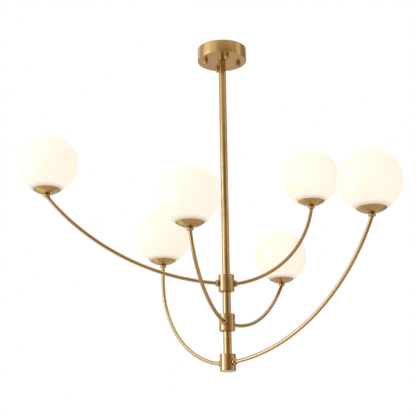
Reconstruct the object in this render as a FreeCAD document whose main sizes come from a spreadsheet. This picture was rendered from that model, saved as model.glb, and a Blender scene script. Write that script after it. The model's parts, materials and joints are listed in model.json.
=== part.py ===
import FreeCAD, Part
import math
import os
import re
import Sketcher

# Branch chandelier: three hubs stacked on a ceiling stem, each with one long and one short arm
# opposite each other, and an opal globe standing in a dish at the end of every arm.
#
# Frame: the origin is the middle of the ceiling plate's upper face, +Z points up, so the lamp
# hangs below Z = 0. +X is to the right and +Y away from someone who stands in front of it.
# Lengths are in millimetres and angles in degrees.

SIZES = (
    # canopy and ceiling plate
    ("canopy_diameter", 130.0, "outside of the drum at the ceiling"),
    ("canopy_height", 34.0, "from the ceiling to the canopy's underside"),
    ("canopy_wall", 1.2, "sheet thickness of the canopy"),
    ("canopy_edge_radius", 2.0, "rounding of the lower rim"),
    ("plate_diameter", 112.0, "ceiling plate"),
    ("plate_thickness", 2.5, "ceiling plate"),
    ("slot_spacing", 70.0, "between the centres of the two screw slots"),
    ("slot_length", 16.0, "end to end"),
    ("slot_width", 5.2, "for ceiling screws of up to 5 mm"),
    ("wire_hole_diameter", 22.0, "for the supply cable, in the plate"),
    ("stud_circle_diameter", 90.0, "pitch circle of the four canopy studs"),
    ("stud_turn", 16.0, "angle from +X to the first stud"),
    ("stud_diameter", 4.0, "threaded studs"),
    ("nut_ball_diameter", 12.5, "ball of the canopy nuts"),
    ("nut_height", 12.5, "from the canopy to the tip of the ball"),
    ("nut_flange_diameter", 13.0, "flange against the canopy"),
    ("nut_flange_thickness", 3.0, "flange against the canopy"),
    ("nut_tip_wall", 2.0, "metal below the nut's blind hole"),
    ("thread_gap", 0.05, "radial room of a screwed piece in its hole"),
    # terminal block
    ("block_length", 28.0, "terminal block along X"),
    ("block_depth", 16.0, "terminal block along Y"),
    ("block_height", 14.0, "terminal block below the plate"),
    ("block_offset", 20.0, "from the stem's axis to the block"),
    ("block_screw_spacing", 9.0, "between its screws"),
    ("block_screw_diameter", 4.2, "wells over its screws"),
    ("block_screw_depth", 5.0, "wells over its screws"),
    # centre tube, stem and spacers
    ("tube_diameter", 12.0, "centre tube that carries the hubs"),
    ("tube_wall", 1.5, "centre tube"),
    ("tube_thread_end", 3.0, "centre tube above its locknut"),
    ("tube_port_diameter", 5.0, "holes for the wires at each hub"),
    ("washer_diameter", 24.0, "washer on the canopy's floor"),
    ("washer_thickness", 1.2, "washer on the canopy's floor"),
    ("locknut_width", 17.0, "across the flats of the canopy locknut"),
    ("locknut_height", 6.0, "canopy locknut"),
    ("stem_diameter", 19.0, "sleeve from the canopy to the top hub"),
    ("stem_wall", 1.2, "sleeve"),
    ("stem_drop", 586.0, "from the canopy's underside to the top hub"),
    ("spacer_diameter", 20.5, "sleeves between the hubs"),
    ("spacer_wall", 1.5, "sleeves between the hubs"),
    # hubs
    ("hub_diameter", 40.0, "outside of a hub"),
    ("hub_height", 42.0, "a hub from top to bottom"),
    ("hub_gap_length", 58.0, "from one hub's floor to the next hub's top"),
    ("hub_wall", 2.5, "side wall of a hub"),
    ("hub_cap_thickness", 3.5, "top of a hub, and its screwed floor"),
    ("hub_chamfer", 0.7, "bevel on a hub's outer edges"),
    ("swivel_gap", 0.1, "between a hub's end and the sleeve or nut it turns on"),
    ("bearing_gap", 0.05, "radial room of the centre tube in a hub"),
    ("end_nut_thickness", 4.6, "round nut that closes the lowest hub"),
    ("end_nut_skin", 1.2, "metal below the centre tube's end"),
    ("end_nut_room", 0.3, "between the round nut and the turning hub's wall"),
    # arms
    ("arm_diameter", 9.0, "bent arm tube"),
    ("arm_wall", 1.0, "bent arm tube"),
    ("arm_inset", 7.4, "how far the arm's end stands inside the hub"),
    ("knuckle_radius", 60.0, "small bend inside the arm's collar"),
    ("long_exit_angle", 2.3, "rise of a long arm as it leaves its collar"),
    ("short_exit_angle", 11.0, "rise of a short arm as it leaves its collar"),
    ("long_reach", 454.0, "from the stem's axis to a long arm's lamp"),
    ("short_reach", 232.0, "from the stem's axis to a short arm's lamp"),
    ("top_rise", 208.1, "from the top hub's middle to its arms' ends"),
    ("middle_rise", 183.1, "from the middle hub's middle to its arms' ends"),
    ("bottom_rise", 282.1, "from the bottom hub's middle to its arms' ends"),
    ("top_azimuth", 192.6, "direction of the top hub's long arm, from +X towards +Y"),
    ("middle_azimuth", 69.1, "direction of the middle hub's long arm"),
    ("bottom_azimuth", -43.2, "direction of the bottom hub's long arm"),
    ("arm_nut_width", 13.0, "across the flats of the nut on an arm's end"),
    ("arm_nut_height", 3.0, "nut on an arm's end"),
    # ball collars
    ("collar_diameter", 17.5, "bead collar, at an arm's hub end and under a lamp"),
    ("collar_round_radius", 4.6, "rounding of the bead from one face to the other"),
    ("collar_back", 3.0, "from the bead's widest ring to its face on the neck's side"),
    ("collar_front", 4.2, "from a lamp bead's widest ring to its face on the arm's side"),
    ("hub_collar_front", 3.2, "the same for a bead at a hub"),
    ("collar_neck_diameter", 10.5, "neck between the bead and what it stands on"),
    ("collar_neck_length", 0.8, "neck between the bead and what it stands on"),
    ("collar_gap", 0.1, "radial room of an arm in its collar"),
    ("arm_end_drop", 2.2, "from the widest ring of a lamp's collar down to the arm's end"),
    # dish, seal and globe
    ("dish_diameter", 70.0, "dish under a globe"),
    ("dish_wall", 1.2, "dish under a globe"),
    ("dish_rim_width", 1.0, "narrow flat on the dish's rim"),
    ("dish_curve_radius", 58.0, "curve of the bowl, whose middle is on the lamp's upright axis"),
    ("dish_foot_diameter", 12.0, "flat under the bowl, where it stands on its collar"),
    ("rim_gap", 0.5, "between the dish's rim and the glass"),
    ("seal_thickness", 1.5, "seal ring between the dish and the glass"),
    ("seal_room", 0.5, "ledge of the dish beyond the seal, and its flat beyond the lampholder"),
    ("screw_ring_wall", 1.5, "threaded ring inside the dish"),
    ("screw_ring_height", 9.0, "threaded ring above the ledge under the seal"),
    ("screw_gap", 0.3, "radial room of the globe's collar on the threaded ring"),
    ("globe_diameter", 150.0, "opal globe"),
    ("globe_wall", 2.5, "opal globe"),
    ("globe_neck_diameter", 48.0, "foot of the globe, where it stands on its seal"),
    ("globe_neck_wall", 3.2, "threaded collar turned up inside the globe"),
    ("globe_neck_height", 10.0, "threaded collar turned up inside the globe"),
    # lampholder and lamp
    ("holder_diameter", 20.0, "lampholder"),
    ("holder_height", 27.5, "lampholder above the flat that it stands on in the bowl"),
    ("holder_flange_diameter", 28.0, "lampholder"),
    ("holder_flange_thickness", 3.0, "lampholder"),
    ("tail_diameter", 8.0, "lampholder's threaded tail, through the dish into the collar"),
    ("tail_length", 4.8, "lampholder's threaded tail"),
    ("lead_bore_diameter", 5.0, "way for the lead up the tail"),
    ("lead_bore_height", 12.0, "top of that way above the lampholder's seat"),
    ("socket_width", 12.4, "slot for the lamp's blade"),
    ("socket_thickness", 5.4, "slot for the lamp's blade"),
    ("socket_depth", 9.0, "slot for the lamp's blade"),
    ("blade_room", 0.2, "all round the lamp's blade in its slot"),
    ("bulb_diameter", 15.0, "capsule lamp"),
    ("bulb_length", 48.0, "capsule lamp above the lampholder"),
    # wires
    ("lead_diameter", 2.8, "lead in an arm"),
    ("lead_turn_in", 4.0, "how far before an arm's end its lead starts to turn upright"),
    ("harness_diameter", 6.0, "bundle in the centre tube"),
    ("harness_bend", 9.0, "bend of the bundle over the centre tube"),
    ("splice_length", 14.0, "closed splice between the bundle and a lead"),
    ("splice_room", 0.7, "between a splice and the end of the arm beside it"),
    ("wire_gap", 0.3, "between a splice and the tube beside it, or the lead it meets"),
)

doc = FreeCAD.newDocument("BranchChandelier")
sheet = doc.addObject("Spreadsheet::Sheet", "Sizes")
nodes = []
ORIGIN = FreeCAD.Vector(0, 0, 0)
UP = FreeCAD.Vector(0, 0, 1)


def fill_sheet():
    """One row for each size: its name, its number under that alias, and what it measures."""
    for row, (alias, number, meaning) in enumerate(SIZES, start=1):
        sheet.set(f"A{row}", alias)
        sheet.set(f"B{row}", str(number))
        sheet.set(f"C{row}", meaning)
        sheet.setAlias(f"B{row}", alias)
    doc.recompute()


def sized(text):
    """The expression text with every size's name pointing at its cell."""
    return re.sub(r"\b[a-z]+(?:_[a-z]+)+\b", lambda found: "Sizes." + found.group(0), text)


def value(text):
    """The number that an expression of the sheet's names has now."""
    return float(sheet.evalExpression(text))


def bind(thing, **properties):
    """Ties properties of an object to expressions of the sheet's names."""
    for name, text in properties.items():
        thing.setExpression(name, sized(text))


def place(thing, x="0", y="0", z="0", turn="0"):
    """Moves a thing by x, y and z after turning it about Z, all four tied to the sheet."""
    for path, text in (("Base.x", x), ("Base.y", y), ("Base.z", z), ("Rotation.Angle", turn)):
        if text != "0":
            thing.setExpression("Placement." + path, sized(text))
    return thing


def node(thing, label):
    """Gives a finished sub-part the label that names its file."""
    thing.Label = label
    nodes.append(thing)
    return thing


# ---- ways of making a solid ----


def sketch_in(body, title, role):
    """A sketch on one of the body's own origin planes."""
    sketch = body.newObject("Sketcher::SketchObject", title)
    plane = next(part for part in body.Origin.OriginFeatures if part.Role == role)
    sketch.AttachmentSupport = [(plane, "")]
    sketch.MapMode = "FlatFace"
    return sketch


def fix(sketch, kind, *where, size):
    """A dimension of the sketch, tied to an expression of the sheet's names."""
    number = value(size)
    if kind == "Angle":
        number = math.radians(number)
    index = sketch.addConstraint(Sketcher.Constraint(kind, *where, number))
    sketch.setExpression(f"Constraints[{index}]", sized(size))


def fix_point(sketch, edge, end, x, y):
    """Holds one end of an edge at (x, y)."""
    for kind, text, axis in (("DistanceX", x, -2), ("DistanceY", y, -1)):
        if text == "0":
            sketch.addConstraint(Sketcher.Constraint("PointOnObject", edge, end, axis))
        else:
            fix(sketch, kind, -1, 1, edge, end, size=text)


def arc_between(start, finish, radius, way):
    """The shorter arc of that radius from start to finish, turning left (+1) or right (-1)."""
    chord = finish - start
    rise = math.sqrt(max(radius**2 - (chord.Length / 2) ** 2, 0))
    left = FreeCAD.Vector(-chord.y, chord.x, 0).normalize()
    centre = (start + finish) / 2 + left * rise * way
    first, last = (start, finish) if way > 0 else (finish, start)
    angles = [math.atan2(point.y - centre.y, point.x - centre.x) for point in (first, last)]
    return Part.ArcOfCircle(Part.Circle(centre, UP, radius), *angles)


def draw_outline(sketch, corners):
    """A closed outline through the corners. A corner is (x, y), or (x, y, radius, way) where an
    arc leads to the next corner; every number in it is an expression of the sheet's names."""
    points = [FreeCAD.Vector(value(corner[0]), value(corner[1]), 0) for corner in corners]
    starts = []
    ends = []
    for index, corner in enumerate(corners):
        here = points[index]
        after = points[(index + 1) % len(points)]
        if len(corner) == 2:
            edge = sketch.addGeometry(Part.LineSegment(here, after), False)
            starts.append((edge, 1))
            ends.append((edge, 2))
        else:
            way = corner[3]
            edge = sketch.addGeometry(arc_between(here, after, value(corner[2]), way), False)
            starts.append((edge, 1 if way > 0 else 2))
            ends.append((edge, 2 if way > 0 else 1))
    for index, corner in enumerate(corners):
        sketch.addConstraint(Sketcher.Constraint("Coincident", *ends[index - 1], *starts[index]))
        fix_point(sketch, *starts[index], corner[0], corner[1])
        if len(corner) > 2:
            fix(sketch, "Radius", starts[index][0], size=corner[2])


def turned(title, corners, axis="V_Axis"):
    """A body turned on a lathe: its half outline in the XZ plane goes round the axis."""
    body = doc.addObject("PartDesign::Body", title)
    sketch = sketch_in(body, title + "_outline", "XZ_Plane")
    draw_outline(sketch, corners)
    feature = body.newObject("PartDesign::Revolution", title + "_turned")
    feature.Profile = sketch
    feature.ReferenceAxis = (sketch, [axis])
    feature.Angle = 360
    return body


def ring(title, outer, inner, bottom, top):
    """A plain turned ring or tube between two heights."""
    corners = [(inner, bottom), (outer, bottom), (outer, top), (inner, top)]
    return turned(title, corners)


def drill(body, title, role, diameter, x="0", y="0"):
    """A hole right through the body, square to one of its origin planes."""
    sketch = sketch_in(body, title + "_centre", role)
    circle = Part.Circle(FreeCAD.Vector(value(x), value(y), 0), UP, value(diameter) / 2)
    sketch.addGeometry(circle, False)
    fix(sketch, "Diameter", 0, size=diameter)
    fix_point(sketch, 0, 3, x, y)
    pocket = body.newObject("PartDesign::Pocket", title)
    pocket.Profile = sketch
    pocket.Type = "ThroughAll"
    pocket.Midplane = True
    return pocket


def cylinder(title, radius, height, **at):
    """A Part cylinder standing on z."""
    thing = doc.addObject("Part::Cylinder", title)
    bind(thing, Radius=radius, Height=height)
    return place(thing, **at)


def block(title, length, width, height, **at):
    """A Part box with its corner at x, y and z."""
    thing = doc.addObject("Part::Box", title)
    bind(thing, Length=length, Width=width, Height=height)
    return place(thing, **at)


def cross_rod(title, radius, length, level, turn):
    """A rod lying through the Z axis at a level, its middle on the axis, turned to a direction."""
    rod = cylinder(title, radius, length, x=f"-({length}) / 2")
    rod.Placement.Rotation = FreeCAD.Rotation(FreeCAD.Vector(0, 1, 0), 90)
    return place(group(title + "_turned", [rod]), z=level, turn=turn)


def group(title, things):
    """Several solids that stay separate in one object."""
    thing = doc.addObject("Part::Compound", title)
    thing.Links = things
    return thing


def cut(title, base, tools):
    """The base with the tools taken out of it."""
    thing = doc.addObject("Part::Cut", title)
    thing.Base = base
    thing.Tool = tools[0] if len(tools) == 1 else group(title + "_tools", tools)
    return thing


def copy_of(original, title, **at):
    """The same piece again, at another place."""
    link = doc.addObject("App::Link", title)
    link.LinkedObject = original
    link.LinkTransform = False
    return place(link, **at)


def hex_nut(title, width, height, bore, **at):
    """A hexagon nut standing on z, its size given across the flats."""
    prism = doc.addObject("Part::Prism", title + "_hexagon")
    prism.Polygon = 6
    bind(prism, Circumradius=f"{width} / 2 / cos(30)", Height=height)
    hole = cylinder(title + "_hole", bore, height)
    return place(cut(title, prism, [hole]), **at)


# ---- levels that several pieces share ----

CANOPY_UNDERSIDE = "-canopy_height"
CANOPY_FLOOR = "-canopy_height + canopy_wall"
LOCKNUT_SEAT = CANOPY_FLOOR + " + washer_thickness"
TUBE_TOP = LOCKNUT_SEAT + " + locknut_height + tube_thread_end"
TOP_HUB = "-(canopy_height + stem_drop + hub_height / 2)"
HUB_STEP = "(hub_height + hub_gap_length)"
MIDDLE_HUB = f"{TOP_HUB} - {HUB_STEP}"
BOTTOM_HUB = f"{TOP_HUB} - 2 * {HUB_STEP}"
TUBE_BOTTOM = BOTTOM_HUB + " - hub_height / 2 + end_nut_skin"
TUBE_BORE = "tube_diameter / 2 + bearing_gap"
HUB_INSIDE = "hub_diameter / 2 - hub_wall"
# levels above an arm's end, where the arm's axis meets the lamp's upright axis
DISH_UNDERSIDE = "arm_end_drop + collar_back + collar_neck_length"
GLOBE_RISE = "sqrt((globe_diameter / 2)^2 - (globe_neck_diameter / 2)^2)"
RIM_INNER = "(dish_diameter / 2 - dish_rim_width)"
RIM_TO_GLOBE = f"sqrt((globe_diameter / 2 + rim_gap)^2 - {RIM_INNER}^2)"
BOWL_HEART = f"{DISH_UNDERSIDE} + sqrt(dish_curve_radius^2 - (dish_foot_diameter / 2)^2)"
RIM_LEVEL = f"{BOWL_HEART} - sqrt(dish_curve_radius^2 - (dish_diameter / 2)^2)"
GLOBE_MIDDLE = f"{RIM_LEVEL} + {RIM_TO_GLOBE}"
SEAL_SEAT = f"{GLOBE_MIDDLE} - {GLOBE_RISE} - seal_thickness"
BOWL_CURVE = "(dish_curve_radius - dish_wall)"
HOLDER_FLAT = "(holder_flange_diameter / 2 + seal_room)"
HOLDER_SEAT = f"{BOWL_HEART} - sqrt({BOWL_CURVE}^2 - {HOLDER_FLAT}^2)"
BULB_SEAT = HOLDER_SEAT + " + holder_height"
SCREW_RING_RADIUS = "globe_neck_diameter / 2 - globe_neck_wall - screw_gap"
# distances from the stem's axis along an arm
ARM_START = "hub_diameter / 2 - arm_inset"
COLLAR_SEAT = "hub_diameter / 2 + collar_neck_length"
SPLICE_INNER = "tube_diameter / 2 + wire_gap"
SPLICE_OUTER = f"{ARM_START} - splice_room"
LEAD_START = f"{SPLICE_OUTER} + wire_gap"


class Hub:
    """One of the three hubs: where it is, which way its long arm points, how high its arms go."""

    def __init__(self, name, level):
        self.name = name
        self.level = level
        self.azimuth = f"{name}_azimuth"
        self.rise = f"{name}_rise"

    def settle(self, thing, label):
        """Puts a thing made about the hub's own middle into its place and names it."""
        return node(place(thing, z=self.level, turn=self.azimuth), label)

    def arms(self):
        """The hub's long arm and, opposite, its short one."""
        return [Arm(self, "long", "0"), Arm(self, "short", "180")]


class Arm:
    """A bent tube in an upright plane: straight through the hub's wall, a small bend inside its
    collar, one large bend, and an upright end where the large bend reaches upright too soon."""

    def __init__(self, hub, length_name, turn):
        self.hub = hub
        self.name = f"{hub.name}_{length_name}"
        self.turn = turn
        self.reach = f"{length_name}_reach"
        self.exit = f"{length_name}_exit_angle"

    def lamp_place(self):
        """Where this arm's lamp stands, seen from the hub's middle."""
        side = "" if self.turn == "0" else "-"
        return {"x": side + self.reach, "z": self.hub.rise, "turn": self.turn}

    def world_place(self, lift):
        """Where this arm's lamp stands, lift above the arm's end."""
        direction = f"({self.hub.azimuth} + {self.turn})"
        return {
            "x": f"{self.reach} * cos({direction})",
            "y": f"{self.reach} * sin({direction})",
            "z": f"{self.hub.level} + {self.hub.rise} + {lift}",
            "turn": direction,
        }

    def bends(self):
        """Runs and bends along the arm from its end inside the hub: ("run", length) or
        ("bend", radius, degrees), and the direction in which it ends."""
        small = value("knuckle_radius")
        leaving = value(self.exit)
        start = value(COLLAR_SEAT) + small * math.sin(math.radians(leaving))
        lift = small * (1 - math.cos(math.radians(leaving)))
        across = value(self.reach) - start
        upward = value(self.hub.rise) - lift
        ending = 2 * math.degrees(math.atan2(upward, across)) - leaving
        path = [("run", value(COLLAR_SEAT) - value(ARM_START)), ("bend", small, leaving)]
        if ending < 90:
            turn = ending - leaving
            radius = math.hypot(across, upward) / (2 * math.sin(math.radians(turn / 2)))
            return path + [("bend", radius, turn)], ending
        radius = across / (1 - math.sin(math.radians(leaving)))
        straight = upward - radius * math.cos(math.radians(leaving))
        return path + [("bend", radius, 90 - leaving), ("run", straight)], 90.0


def trace(path, start, heading):
    """Lines and arcs in the XY plane that follow a path of runs and left bends."""
    edges = []
    here = start
    for step in path:
        along = FreeCAD.Vector(math.cos(heading), math.sin(heading), 0)
        if step[0] == "run":
            after = here + along * step[1]
            edges.append(Part.LineSegment(here, after))
        else:
            _, radius, degrees = step
            centre = here + FreeCAD.Vector(-along.y, along.x, 0) * radius
            first = heading - math.pi / 2
            heading += math.radians(degrees)
            last = heading - math.pi / 2
            edges.append(Part.ArcOfCircle(Part.Circle(centre, UP, radius), first, last))
            after = centre + FreeCAD.Vector(math.cos(last), math.sin(last), 0) * radius
        here = after
    return edges


def swept(title, path, start, heading, radius):
    """A round wire or bundle along a path drawn in the XY plane and stood up into XZ."""
    edges = trace(path, start, heading)
    wire = Part.Wire([edge.toShape() for edge in edges])
    along = FreeCAD.Vector(math.cos(heading), math.sin(heading), 0)
    section = Part.Wire([Part.Circle(start, along, radius).toShape()])
    solid = wire.makePipeShell([section], True, False)
    expected = math.pi * radius**2 * wire.Length
    if abs(solid.Volume - expected) > 0.01 * expected:
        raise RuntimeError(f"{title}: the sweep holds {solid.Volume:.0f}, not {expected:.0f} mm3")
    solid.rotate(ORIGIN, FreeCAD.Vector(1, 0, 0), 90)
    return solid


# ---- canopy and what holds it to the ceiling ----


def make_ceiling_plate():
    """Round steel plate with two screw slots along X, a cable hole and holes for the studs."""
    disc = cylinder("plate_disc", "plate_diameter / 2", "plate_thickness", z="-plate_thickness")
    tools = [
        cylinder("plate_wire_hole", "wire_hole_diameter / 2", "plate_thickness",
                 z="-plate_thickness")
    ]
    for side, sign in (("left", "-"), ("right", "+")):
        middle = f"{sign}slot_spacing / 2"
        half = "(slot_length - slot_width) / 2"
        tools.append(
            block(f"slot_{side}", "slot_length - slot_width", "slot_width", "plate_thickness",
                  x=f"{middle} - {half}", y="-slot_width / 2", z="-plate_thickness")
        )
        for end, step in (("inner", "-"), ("outer", "+")):
            tools.append(
                cylinder(f"slot_{side}_{end}", "slot_width / 2", "plate_thickness",
                         x=f"{middle} {step} {half}", z="-plate_thickness")
            )
    for index in range(4):
        angle = f"(stud_turn + {90 * index})"
        tools.append(
            cylinder(f"stud_hole_{index}", "stud_diameter / 2 + thread_gap", "plate_thickness",
                     x=f"stud_circle_diameter / 2 * cos({angle})",
                     y=f"stud_circle_diameter / 2 * sin({angle})", z="-plate_thickness")
        )
    merged = doc.addObject("Part::MultiFuse", "plate_openings")
    merged.Shapes = tools
    node(cut("ceiling_plate", disc, [merged]), "ceiling_plate")


def make_canopy():
    """Spun drum, open at the ceiling, with holes for the centre tube and the studs."""
    radius = "canopy_diameter / 2"
    rounded = "canopy_edge_radius"
    bore = "tube_diameter / 2 + thread_gap"
    body = turned("canopy", [
        (bore, CANOPY_UNDERSIDE),
        (f"{radius} - {rounded}", CANOPY_UNDERSIDE, rounded, 1),
        (radius, f"{CANOPY_UNDERSIDE} + {rounded}"),
        (radius, "0"),
        (f"{radius} - canopy_wall", "0"),
        (f"{radius} - canopy_wall", CANOPY_FLOOR),
        (bore, CANOPY_FLOOR),
    ])
    pocket = drill(body, "stud_hole", "XY_Plane", "stud_diameter + 2 * thread_gap",
                   x="stud_circle_diameter / 2")
    pattern = body.newObject("PartDesign::PolarPattern", "stud_holes")
    pattern.Originals = [pocket]
    pattern.Axis = (next(part for part in body.Origin.OriginFeatures if part.Role == "Z_Axis"), [""])
    pattern.Angle = 360
    pattern.Occurrences = 4
    body.Tip = pattern
    node(place(body, turn="stud_turn"), "canopy")


def round_the_studs(piece, title):
    """Four copies of a piece on the stud circle."""
    copies = []
    for index in range(4):
        angle = f"(stud_turn + {90 * index})"
        copies.append(
            copy_of(piece, f"{title}_{index}", x=f"stud_circle_diameter / 2 * cos({angle})",
                    y=f"stud_circle_diameter / 2 * sin({angle})")
        )
    node(group(title, copies), title)


def make_studs_and_nuts():
    """Studs riveted in the plate hang through the canopy and take a ball nut each."""
    reach = "canopy_height + nut_height - nut_tip_wall"
    stud = turned("stud", [
        ("0", f"-({reach})"),
        ("stud_diameter / 2", f"-({reach})"),
        ("stud_diameter / 2", "0"),
        ("0", "0"),
    ])
    round_the_studs(stud, "canopy_studs")
    bore = "stud_diameter / 2 + thread_gap"
    ball = "nut_ball_diameter / 2"
    above_middle = f"nut_height - {ball} - nut_flange_thickness"
    flange_bottom = f"{CANOPY_UNDERSIDE} - nut_flange_thickness"
    nut = turned("ball_nut", [
        (bore, CANOPY_UNDERSIDE),
        (bore, f"{CANOPY_UNDERSIDE} - nut_height + nut_tip_wall"),
        ("0", f"{CANOPY_UNDERSIDE} - nut_height + nut_tip_wall"),
        ("0", f"{CANOPY_UNDERSIDE} - nut_height", ball, 1),
        (f"sqrt(({ball})^2 - ({above_middle})^2)", flange_bottom),
        ("nut_flange_diameter / 2", flange_bottom),
        ("nut_flange_diameter / 2", CANOPY_UNDERSIDE),
    ])
    round_the_studs(nut, "ball_nuts")


def make_terminal_block():
    """Three-way block under the plate, its screws reached from below."""
    body = block("block_body", "block_length", "block_depth", "block_height",
                 x="-block_length / 2", y="block_offset", z="-plate_thickness - block_height")
    wells = []
    for index, step in enumerate(("-block_screw_spacing", "0", "block_screw_spacing")):
        wells.append(
            cylinder(f"block_well_{index}", "block_screw_diameter / 2", "block_screw_depth",
                     x=step, y="block_offset + block_depth / 2",
                     z="-plate_thickness - block_height")
        )
    node(cut("terminal_block", body, wells), "terminal_block")


# ---- stem ----


def make_stem(hubs):
    """The centre tube, what clamps it in the canopy, and the sleeves round it."""
    outer = "tube_diameter / 2"
    tube = ring("tube_blank", outer, f"{outer} - tube_wall", TUBE_BOTTOM, TUBE_TOP)
    ports = [
        cross_rod(f"{hub.name}_port", "tube_port_diameter / 2", "tube_diameter + 2", hub.level,
                  hub.azimuth)
        for hub in hubs
    ]
    node(cut("centre_tube", tube, ports), "centre_tube")
    bore = "tube_diameter / 2 + thread_gap"
    washer = ring("canopy_washer", "washer_diameter / 2", bore, CANOPY_FLOOR, LOCKNUT_SEAT)
    node(washer, "canopy_washer")
    locknut = hex_nut("canopy_locknut", "locknut_width", "locknut_height", bore, z=LOCKNUT_SEAT)
    node(locknut, "canopy_locknut")
    stem = ring("stem_tube", "stem_diameter / 2", "stem_diameter / 2 - stem_wall",
                f"{CANOPY_UNDERSIDE} - stem_drop + swivel_gap", CANOPY_UNDERSIDE)
    node(stem, "stem_tube")
    for label, above in (("upper_spacer", TOP_HUB), ("lower_spacer", MIDDLE_HUB)):
        top = f"{above} - hub_height / 2 - swivel_gap"
        bottom = f"{above} - {HUB_STEP} + hub_height / 2 + swivel_gap"
        radius = "spacer_diameter / 2"
        node(ring(label, radius, f"{radius} - spacer_wall", bottom, top), label)
    nut_radius = f"{HUB_INSIDE} - end_nut_room"
    floor = f"{BOTTOM_HUB} - hub_height / 2"
    nut = turned("end_nut", [
        ("0", floor),
        (nut_radius, floor),
        (nut_radius, f"{floor} + end_nut_thickness"),
        (bore, f"{floor} + end_nut_thickness"),
        (bore, f"{floor} + end_nut_skin"),
        ("0", f"{floor} + end_nut_skin"),
    ])
    node(nut, "end_nut")


# ---- hubs ----


def make_hub(hub):
    """Turned cup with a screwed floor, and the nuts that hold its two arms."""
    radius = "hub_diameter / 2"
    half = "hub_height / 2"
    shell = turned(f"{hub.name}_shell", [
        (TUBE_BORE, f"{half} - hub_cap_thickness"),
        (HUB_INSIDE, f"{half} - hub_cap_thickness"),
        (HUB_INSIDE, f"-{half}"),
        (f"{radius} - hub_chamfer", f"-{half}"),
        (radius, f"-{half} + hub_chamfer"),
        (radius, f"{half} - hub_chamfer"),
        (f"{radius} - hub_chamfer", half),
        (TUBE_BORE, half),
    ])
    drill(shell, f"{hub.name}_arm_holes", "YZ_Plane", "arm_diameter + 2 * thread_gap")
    hub.settle(shell, f"hub_{hub.name}_shell")
    lift = "end_nut_thickness + swivel_gap" if hub.name == "bottom" else "0"
    floor = ring(f"{hub.name}_floor", f"{HUB_INSIDE} - thread_gap", TUBE_BORE,
                 f"-{half} + {lift}", f"-{half} + {lift} + hub_cap_thickness")
    hub.settle(floor, f"hub_{hub.name}_floor")
    nuts = []
    for arm in hub.arms():
        nut = hex_nut(f"{arm.name}_nut", "arm_nut_width", "arm_nut_height",
                      "arm_diameter / 2 + thread_gap", x=ARM_START)
        nut.Placement.Rotation = FreeCAD.Rotation(FreeCAD.Vector(0, 1, 0), 90)
        nuts.append(place(group(f"{arm.name}_nut_turned", [nut]), turn=arm.turn))
    hub.settle(group(f"{hub.name}_arm_nuts", nuts), f"hub_{hub.name}_arm_nuts")


# ---- arms and their collars ----


def sweep_along_arm(arm, title, radii):
    """A body swept along the arm: one radius gives a rod, two a tube."""
    body = doc.addObject("PartDesign::Body", title)
    spine = sketch_in(body, title + "_spine", "XZ_Plane")
    path, _ = arm.bends()
    last = len(path) - 1
    spine.addGeometry(trace(path, FreeCAD.Vector(value(ARM_START), 0, 0), 0.0), False)
    for index in range(last):
        spine.addConstraint(Sketcher.Constraint("Tangent", index, 2, index + 1, 1))
    spine.addConstraint(Sketcher.Constraint("Horizontal", 0))
    fix_point(spine, 0, 1, ARM_START, "0")
    fix(spine, "DistanceX", -1, 1, 0, 2, size=COLLAR_SEAT)
    fix(spine, "Radius", 1, size="knuckle_radius")
    fix(spine, "Angle", 1, size=f"{arm.exit} * 1 deg")
    fix(spine, "DistanceX", -1, 1, last, 2, size=arm.reach)
    fix(spine, "DistanceY", -1, 1, last, 2, size=arm.hub.rise)
    if path[last][0] == "run":
        spine.addConstraint(Sketcher.Constraint("Vertical", last))
    section = sketch_in(body, title + "_section", "YZ_Plane")
    section.AttachmentOffset = FreeCAD.Placement(
        FreeCAD.Vector(0, 0, value(ARM_START)), FreeCAD.Rotation()
    )
    section.setExpression("AttachmentOffset.Base.z", sized(ARM_START))
    for index, radius in enumerate(radii):
        section.addGeometry(Part.Circle(ORIGIN, UP, value(radius)), False)
        section.addConstraint(Sketcher.Constraint("Coincident", index, 3, -1, 1))
        fix(section, "Radius", index, size=radius)
    doc.recompute()
    pipe = body.newObject("PartDesign::AdditivePipe", title + "_pipe")
    pipe.Profile = section
    pipe.Spine = (spine, [f"Edge{index + 1}" for index in range(last + 1)])
    return body


def make_collar_blanks():
    """The turned collar of an arm's hub end, lying along X, and that of a lamp, standing up."""
    curve = "collar_round_radius"
    heart = f"collar_diameter / 2 - {curve}"
    back_radius = f"{heart} + sqrt({curve}^2 - collar_back^2)"
    front_radius = f"{heart} + sqrt({curve}^2 - collar_front^2)"
    hub_radius = f"{heart} + sqrt({curve}^2 - hub_collar_front^2)"
    neck = "collar_neck_diameter / 2"
    middle = f"{COLLAR_SEAT} + collar_back"
    hub_collar = turned("hub_collar", [
        (f"hub_diameter / 2 - hub_wall", "0"),
        (f"{middle} + hub_collar_front", "0"),
        (f"{middle} + hub_collar_front", hub_radius, curve, 1),
        (COLLAR_SEAT, back_radius),
        (COLLAR_SEAT, neck),
        (f"hub_diameter / 2 - hub_wall", neck),
    ], axis="H_Axis")
    tail = "tail_diameter / 2 + thread_gap"
    lamp_collar = turned("lamp_collar", [
        ("0", "arm_end_drop - collar_front"),
        (front_radius, "arm_end_drop - collar_front", curve, 1),
        (back_radius, "arm_end_drop + collar_back"),
        (neck, "arm_end_drop + collar_back"),
        (neck, DISH_UNDERSIDE),
        (tail, DISH_UNDERSIDE),
        (tail, "-arm_wall"),
        ("0", "-arm_wall"),
    ])
    return hub_collar, lamp_collar


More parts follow.
